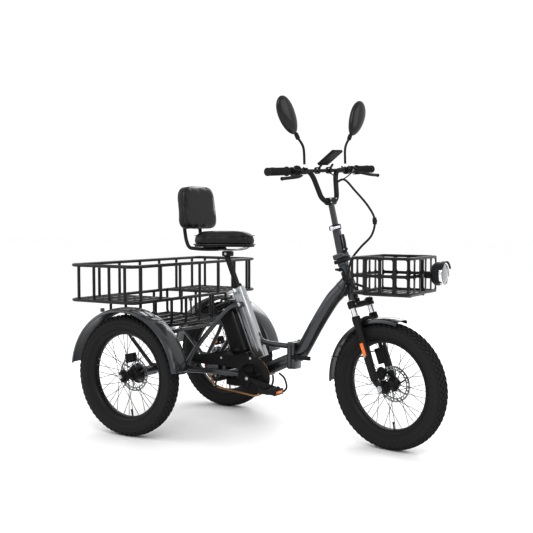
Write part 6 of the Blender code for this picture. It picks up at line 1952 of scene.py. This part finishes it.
    def mirror_head(self, centre: Vector, side: float, name: str, body: str) -> None:
        """A drop-shaped shell with its flat glass facing back, set in a rim."""
        turn = Matrix.Rotation(side * math.radians(-32.0), 4, "X")
        shell, glass, rim = bmesh.new(), bmesh.new(), []
        bmesh.ops.create_uvsphere(shell, u_segments=40, v_segments=24, radius=1.0)
        for vert in shell.verts:
            narrow = 0.86 + 0.14 * vert.co.z
            vert.co = Vector((max(vert.co.x, -0.25) * 0.0195, vert.co.y * 0.0575 * narrow,
                              vert.co.z * 0.0895))
        place = Matrix.Translation(centre) @ turn
        Form().absorb(shell, place).piece(f"mirror_{name}_shell", Finishes.CASE_PLASTIC, body,
                                          heading=Heading.STEERED, crease=50.0)
        for step in range(48):
            angle = math.tau * step / 48
            z = math.sin(angle)
            rim.append(Vector((-0.0055, math.cos(angle) * 0.0535 * (0.86 + 0.14 * z), z * 0.0845)))
        face = glass.faces.new([glass.verts.new(point) for point in rim])
        made = bmesh.ops.extrude_face_region(glass, geom=[face])
        lifted = [item for item in made["geom"] if isinstance(item, bmesh.types.BMVert)]
        bmesh.ops.translate(glass, vec=(0.0035, 0.0, 0.0), verts=lifted)
        bmesh.ops.recalc_face_normals(glass, faces=glass.faces)
        Form().absorb(glass, place).piece(f"mirror_{name}_glass", Finishes.MIRROR, body,
                                          heading=Heading.STEERED)
        bead = Form().tube([place @ (point + AHEAD * 0.0004) for point in rim], 0.0019, 3, closed=True)
        bead.piece(f"mirror_{name}_bead", Finishes.MOULDED, body, heading=Heading.STEERED)

    def build(self, stem: Stem) -> None:
        """Makes the handlebar and what it carries."""
        self.post(stem)
        self.bar(stem)
        self.grips()
        self.controls()
        self.display()
        self.mirrors()


# ---- cables -------------------------------------------------------------------------------------
@dataclass
class Cables:
    """The sleeved bundle from the handlebar to the frame, and the thin cables to the brakes."""

    radius: float = 0.0045

    def bend(self, name: str, points: Sequence[Vector], radius: float, finish: Finishes,
             bodies: tuple[str, str],
             replaces: Sequence[str] = (), plug: int = 0) -> None:
        """A sleeve along its points from the first to the last, with a connector at a point; the two bodies are only
        logged.
        """
        form = Form().tube(points, radius, 5)
        if plug:
            form.tube(points[plug:plug + 4], radius * 1.9, 5)
            form.tube(points[plug + 1:plug + 3], radius * 2.2, 5)
        bmesh.ops.translate(form.mesh, vec=LAYOUT.shift, verts=form.mesh.verts)
        mesh = bpy.data.meshes.new(name)
        form.mesh.to_mesh(mesh)
        form.mesh.free()
        mesh.materials.append(finish.value.material())
        mesh.shade_smooth()
        thing = bpy.data.objects.new(name, mesh)
        bpy.context.scene.collection.objects.link(thing)
        points[0] + LAYOUT.shift
        points[-1] + LAYOUT.shift
        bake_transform(thing)
        if replaces:
            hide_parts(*replaces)
        log.info("%s bends between %s and %s", name, *bodies)

    def build(self) -> None:
        """Makes the bundle in three lengths, its connectors, and the thin cables."""
        route = flowing([(0.893, -0.049, 0.640), (0.922, -0.048, 0.690), (0.940, -0.046, 0.750),
                         (0.957, -0.043, 0.815),
                         (0.998, -0.039, 0.868), (1.048, -0.037, 0.920), (1.062, -0.037, 0.985),
                         (1.030, -0.038, 1.045), (0.969, -0.038, 1.110), (0.915, -0.030, 1.158),
                         (0.872, -0.020, 1.150)], 7)
        lower, middle = 28, 49
        self.bend("sleeve_low", route[:lower + 1], self.radius, Finishes.SLEEVE, ("front_half", "steering"),
                  ["cable_bundle"])
        self.bend("sleeve_middle", route[lower:middle + 1], self.radius, Finishes.SLEEVE,
                  ("steering", "stem"), plug=12)
        self.bend("sleeve_high", route[middle:], self.radius, Finishes.SLEEVE, ("stem", "bar"))
        tail = flowing([(0.893, -0.049, 0.640), (0.860, -0.040, 0.600), (0.800, -0.030, 0.515),
                        (0.745, -0.020, 0.430),
                        (0.700, -0.014, 0.372)], 8)
        Form().tube(tail, 0.0040, 5).piece("sleeve_tail", Finishes.SLEEVE, "front_half")
        clips = Form()
        for step in (8, 16, 24):
            clips.rod(tail[step], tail[step] + (tail[step + 1] - tail[step]).normalized() * 0.007, 0.0056,
                      sides=20,
                      bevel=0.0008)
        clips.piece("cable_clips", Finishes.SATIN_BLACK, "front_half")
        for side, name in ((-1.0, "right"), (1.0, "left")):
            lever = LAYOUT.at(f"brake_{name}_pull", Heading.STEERED) + Vector((0.012, -side * 0.032, 0.002))
            knots = [lever, (0.868, side * 0.130, 1.203), (0.896, side * 0.075, 1.188),
                     (0.890, side * 0.026, 1.163),
                     (0.869, -0.009, 1.149)]
            Form().tube(flowing(knots, 8), 0.0024, 4).piece(f"brake_cable_{name}", Finishes.SATIN_BLACK,
                                                            "bar",
                                                            heading=Heading.STEERED)


# ---- seat ---------------------------------------------------------------------------------------
@dataclass
class Seat:
    """The seat: post, clamp, sprung saddle and the padded backrest on its tube."""

    body: str = "seat"
    low_z: float = 0.868
    lean: float = 23.0
    outline: Sequence[tuple[float, float]] = ((0.150, 0.060), (0.156, 0.105), (0.190, 0.125), (0.235, 0.120),
                                              (0.290, 0.075), (0.340, 0.048), (0.400, 0.040), (0.424, 0.022))

    def plan(self, share: float, steps: int = 5) -> list[Vector]:
        """The saddle's plan outline, smooth all round, drawn in by a share."""
        ring = [(x, y) for x, y in self.outline] + [(x, -y) for x, y in reversed(self.outline)]
        middle = 0.270
        knots = [(middle + (x - middle) * share, y * share, 0.0) for x, y in ring]
        closed = flowing([knots[-1], *knots, knots[0], knots[1]], steps)
        return closed[steps:-steps - 1]

    def pillow(self, name: str, layers: Sequence[tuple[float, float]]) -> bpy.types.Object:
        """A padded body lofted through outlines at several heights, closed above and below.

        Args:
            name: its name.
            layers: each outline's height and share of the plan.
        """
        solid = bmesh.new()
        rings = []
        for z, share in layers:
            rings.append([solid.verts.new((point.x, point.y, z)) for point in self.plan(share)])
        for ring in rings:
            for vert, following in zip(ring, ring[1:] + ring[:1]):
                solid.edges.new((vert, following))
        bmesh.ops.bridge_loops(solid, edges=solid.edges[:])
        for ring in (rings[0], rings[-1]):
            solid.faces.new(ring)
        bmesh.ops.triangulate(solid, faces=[face for face in solid.faces if len(face.verts) > 4])
        bmesh.ops.recalc_face_normals(solid, faces=solid.faces)
        return self.thing(name, solid)

    def thing(self, name: str, solid: bmesh.types.BMesh) -> bpy.types.Object:
        """An object of the body in the frame's coordinates."""
        bmesh.ops.translate(solid, vec=LAYOUT.shift, verts=solid.verts)
        mesh = bpy.data.meshes.new(name)
        solid.to_mesh(mesh)
        solid.free()
        thing = bpy.data.objects.new(name, mesh)
        bpy.context.scene.collection.objects.link(thing)
        return thing

    def dress(self, thing: bpy.types.Object, finish: Finishes, node: str, hold: float) -> None:
        """Stuffs a pad as cloth under pressure, and puts it on the seat.

        Args:
            thing: the pad.
            finish: its covering.
            node: the CAD node that it stands for.
            hold: the furthest in metres that the covering may move.
        """
        self.inflate(thing, hold)
        smooth = thing.modifiers.new("smooth", "SUBSURF")
        smooth.levels = 1
        smooth.render_levels = 1
        thing.data.materials.append(finish.value.material())
        thing.data.shade_smooth()
        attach(thing, self.body)
        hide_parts(node)
        log.info("%s: %d faces, padded", thing.name, len(thing.data.polygons))

    def inflate(self, thing: bpy.types.Object, hold: float) -> None:
        """Runs the cloth pass on a pad, and keeps each point near where it began."""
        bpy.context.view_layer.objects.active = thing
        grid = thing.modifiers.new("grid", "REMESH")
        grid.mode = "VOXEL"
        grid.voxel_size = 0.0055
        bpy.ops.object.modifier_apply(modifier=grid.name)
        start = [vert.co.copy() for vert in thing.data.vertices]
        cloth = thing.modifiers.new("cloth", "CLOTH")
        cloth.settings.quality = 5
        cloth.settings.mass = 0.3
        cloth.settings.tension_stiffness = 20.0
        cloth.settings.compression_stiffness = 6.0
        cloth.settings.bending_stiffness = 0.6
        cloth.settings.use_pressure = True
        cloth.settings.uniform_pressure_force = 4.0
        cloth.settings.effector_weights.gravity = 0.0
        for number in range(1, 21):
            bpy.context.scene.frame_set(number)
        bpy.ops.object.modifier_apply(modifier=cloth.name)
        bpy.context.scene.frame_set(1)
        for vert, origin in zip(thing.data.vertices, start):
            move = vert.co - origin
            if move.length > hold:
                vert.co = origin + move.normalized() * hold
        log.info("%s: cloth pass over %d points", thing.name, len(start))

    def saddle(self) -> None:
        """The saddle's padded top, its moulded base, side trim and piping."""
        z = self.low_z
        layers = [(z + 0.002, 0.955), (z + 0.008, 0.985), (z + 0.022, 0.985), (z + 0.038, 0.950),
                  (z + 0.050, 0.860),
                  (z + 0.056, 0.700), (z + 0.058, 0.450)]
        self.dress(self.pillow("saddle_cushion", layers), Finishes.VINYL, "saddle_pad", 0.006)
        outline = [(point.x, point.y) for point in self.plan(0.955)]
        form = Form().plate([(x, y) for x, y in outline], (0.0, 0.0, z - 0.005), UP, 0.0095, bevel=0.002)
        form.piece("saddle_shell", Finishes.MOULDED, self.body, ["saddle_base"])
        band = Form().tube([point + UP * (z + 0.0010) for point in self.plan(0.985)], 0.0028, 4, closed=True)
        band.piece("saddle_piping", Finishes.SEAT_TRIM, self.body)
        seam = Form().tube([point + UP * (z + 0.0425) for point in self.plan(0.955)], 0.0014, 3, closed=True)
        seam.piece("saddle_seam", Finishes.THREAD, self.body)

    def backrest(self) -> None:
        """The backrest's pad, its shiny side band, its tube and bolts."""
        lean = Vector((-0.10, 0.0, 1.0)).normalized()
        solid = bmesh.new()
        bmesh.ops.create_cube(solid, size=1.0)
        bmesh.ops.scale(solid, vec=(0.046, 0.272, 0.206), verts=solid.verts)
        tops = [vert for vert in solid.verts if vert.co.z > 0.0]
        bmesh.ops.scale(solid, vec=(1.0, 0.90, 1.0), verts=tops)
        upright = [edge for edge in solid.edges if abs(edge.verts[0].co.x - edge.verts[1].co.x) > 0.01]
        bmesh.ops.bevel(solid, geom=upright, offset=0.045, segments=6, profile=0.5, affect="EDGES")
        soften(solid, 0.012, 3, math.radians(50.0))
        bmesh.ops.triangulate(solid, faces=[face for face in solid.faces if len(face.verts) > 4])
        middle = Vector((0.100, 0.0, 1.041))
        bmesh.ops.transform(solid, matrix=basis(middle, lean), verts=solid.verts)
        self.dress(self.thing("backrest_cushion", solid), Finishes.VINYL, "backrest_pad", 0.005)
        edge = []
        for step in range(64):
            angle = math.tau * step / 64
            y = math.copysign(abs(math.cos(angle)) ** 0.42, math.cos(angle)) * 0.1335
            z = math.copysign(abs(math.sin(angle)) ** 0.42, math.sin(angle)) * 0.1005
            y *= 0.95 - 0.05 * z / 0.1005
            edge.append(basis(middle, lean) @ Vector((0.017, y, z)))
        seam = Form().tube(edge, 0.0016, 3, closed=True)
        seam.piece("backrest_piping", Finishes.SEAT_TRIM, self.body)
        x = 0.062
        half = [(x + 0.006, 0.062, 1.000), (x + 0.012, 0.062, 0.930), (x + 0.022, 0.062, 0.882),
                (0.100, 0.062, 0.850),
                (0.165, 0.062, 0.846), (0.222, 0.062, 0.846), (0.238, 0.040, 0.846)]
        route = [(a, -b, c) for a, b, c in half] + [(a, b, c) for a, b, c in reversed(half)]
        tube = Form().tube(rounded(route, 0.025, 5), 0.0083, 5)
        tube.piece("backrest_tube", Finishes.BLACK_PAINT, self.body, ["backrest_frame"])
        bolts = Form()
        for side in (-1, 1):
            for z in (0.965, 0.990):
                bolts.bolt((0.0610, side * 0.062, z), -AHEAD, 0.0048, 0.005)
        bolts.piece("backrest_bolts", Finishes.ALLOY, self.body)

    def under(self) -> None:
        """The post, the saddle clamp, its rails and the clamp's bolts."""
        rise = leaned(self.lean)
        top = Vector((0.340, 0.0, 0.665))
        post = Form().rod(top - rise * 0.130, top + rise * 0.165, 0.0133, sides=44)
        head = top + rise * 0.160
        post.box(head + AHEAD * 0.004 + UP * 0.012, (0.046, 0.036, 0.024), UP, bevel=0.005)
        post.piece("seat_post_tube", Finishes.BLACK_PAINT, self.body, ["seat_post"])
        rails = Form()
        for side in (-1, 1):
            rail = [(0.180, side * 0.055, 0.860), (0.196, side * 0.040, 0.847), (0.250, side * 0.021, 0.843),
                    (0.330, side * 0.021, 0.843), (0.375, side * 0.016, 0.850), (0.402, side * 0.010, 0.861)]
            rails.tube(flowing(rail, 6), 0.0036, 4)
        rails.piece("saddle_rails", Finishes.STEEL, self.body)
        bolts = Form()
        for side in (-1, 1):
            bolts.bolt(head + Vector((0.004, side * 0.0185, 0.012)), SIDE * side, 0.0050, 0.006)
        bolts.piece("saddle_clamp_bolts", Finishes.ALLOY, self.body)

    def build(self) -> None:
        """Makes the seat."""
        self.under()
        self.saddle()
        self.backrest()


# ---- stage --------------------------------------------------------------------------------------
class Studio:
    """The floor, the soft lights and the camera."""

    CAMERA = Vector((2.1773, -3.5591, 0.9930))
    TARGET = Vector((-0.0437, 0.0, 0.7693))
    LENS = 61.45
    FLOOR_HALF = 40.0
    FLOOR_ROUGHNESS = 0.62
    FLOOR_LIGHT, FLOOR_DARK = (0.985, 0.985, 0.985, 1.0), (0.97, 0.97, 0.97, 1.0)
    LAMPS = (("key", (2.6, -3.4, 4.2), 3.0, 95.0), ("fill", (-3.6, -2.6, 2.6), 3.4, 38.0),
             ("back", (-1.4, 4.2, 3.6), 3.2, 70.0), ("front", (4.2, 1.2, 2.4), 2.6, 30.0))
    LAMP_AIM = Vector((0.0, 0.0, 0.6))
    SKY_STRENGTH = 1.02
    GAMMA = 0.76

    def floor(self) -> None:
        """A plain pale floor that runs far past the object."""
        solid = bmesh.new()
        bmesh.ops.create_grid(solid, x_segments=1, y_segments=1, size=self.FLOOR_HALF)
        mesh = bpy.data.meshes.new("floor")
        solid.to_mesh(mesh)
        solid.free()
        graph = Graph("floor")
        stain = graph.noise(3.0, 3.0)
        graph.feed(graph.shader.inputs["Base Color"],
                   graph.blend(stain.smooth(0.3, 0.7), self.FLOOR_DARK, self.FLOOR_LIGHT))
        graph.shader.inputs["Roughness"].default_value = self.FLOOR_ROUGHNESS
        mesh.materials.append(graph.material)
        thing = bpy.data.objects.new("floor", mesh)
        bpy.context.scene.collection.objects.link(thing)

    def light(self, name: str, place: Sequence[float], size: float, power: float) -> None:
        """One soft square light that looks at the object."""
        data = bpy.data.lights.new(name, "AREA")
        data.shape = "SQUARE"
        data.size = size
        data.energy = power
        thing = bpy.data.objects.new(name, data)
        thing.location = place
        thing.rotation_euler = (self.LAMP_AIM - Vector(place)).to_track_quat("-Z", "Y").to_euler()
        bpy.context.scene.collection.objects.link(thing)

    def camera(self) -> None:
        """The camera, level with the handlebar's height and to the right of the front."""
        data = bpy.data.cameras.new("camera")
        data.lens = self.LENS
        data.sensor_width = 36.0
        thing = bpy.data.objects.new("camera", data)
        thing.location = self.CAMERA
        thing.rotation_euler = (self.TARGET - self.CAMERA).to_track_quat("-Z", "Y").to_euler()
        bpy.context.scene.collection.objects.link(thing)
        bpy.context.scene.camera = thing

    def build(self) -> None:
        """Sets the stage."""
        self.floor()
        self.camera()
        for lamp in self.LAMPS:
            self.light(*lamp)
        world = bpy.data.worlds.new("studio")
        world.use_nodes = True
        sky = world.node_tree.nodes["Background"]
        sky.inputs["Color"].default_value = (1.0, 1.0, 1.0, 1.0)
        sky.inputs["Strength"].default_value = self.SKY_STRENGTH
        bpy.context.scene.world = world
        bpy.context.scene.view_settings.view_transform = "Standard"
        bpy.context.scene.view_settings.gamma = self.GAMMA


def build_wheels() -> None:
    """Makes the three wheels with their mudguards and calipers."""
    for side, name in ((-1.0, "right"), (1.0, "left")):
        joint = f"rear_wheel_{name}_spin"
        Wheel("rear", f"_{name}", f"wheel_rear_{name}", joint, -side, 0.17).build()
        centre = LAYOUT.at(joint)
        Mudguard(f"rear_fender_{name}", "rear_half", centre, 0.312, 0.054, 8.0, 172.0).build()
        Caliper(f"rear_caliper_{name}", "rear_half", joint, -side, 104.0, -side * 0.042, depth=0.013).build()
    Wheel("front", "", "wheel_front", "front_wheel_spin", 1.0, 0.05, Heading.STEERED).build()
    axle = LAYOUT.at("front_wheel_spin", Heading.STEERED)
    stays = [(158.0, head_spot(-0.330, 0.029, side * 0.0835)) for side in (-1, 1)]
    Mudguard("front_fender", "fork_lower", axle, 0.297, 0.043, 76.0, 181.0, stays, Heading.STEERED).build()
    Caliper("front_caliper", "fork_lower", "front_wheel_spin", 1.0, 150.0, 0.042, Heading.STEERED,
            depth=0.010).build()


def main() -> None:
    """Builds every sub-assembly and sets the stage."""
    build_wheels()
    rear = RearFrame()
    rear.build()
    Battery().build(rear)
    Drive().build()
    RearBasket().build()
    FrontBasket().build()
    Headlight().build()
    FrontFrame().build()
    Fork().build()
    stem = Stem()
    stem.build()
    Handlebar().build(stem)
    Cables().build()
    Seat().build()
    Studio().build()
    bpy.context.view_layer.update()


if __name__ == "__main__":
    main()
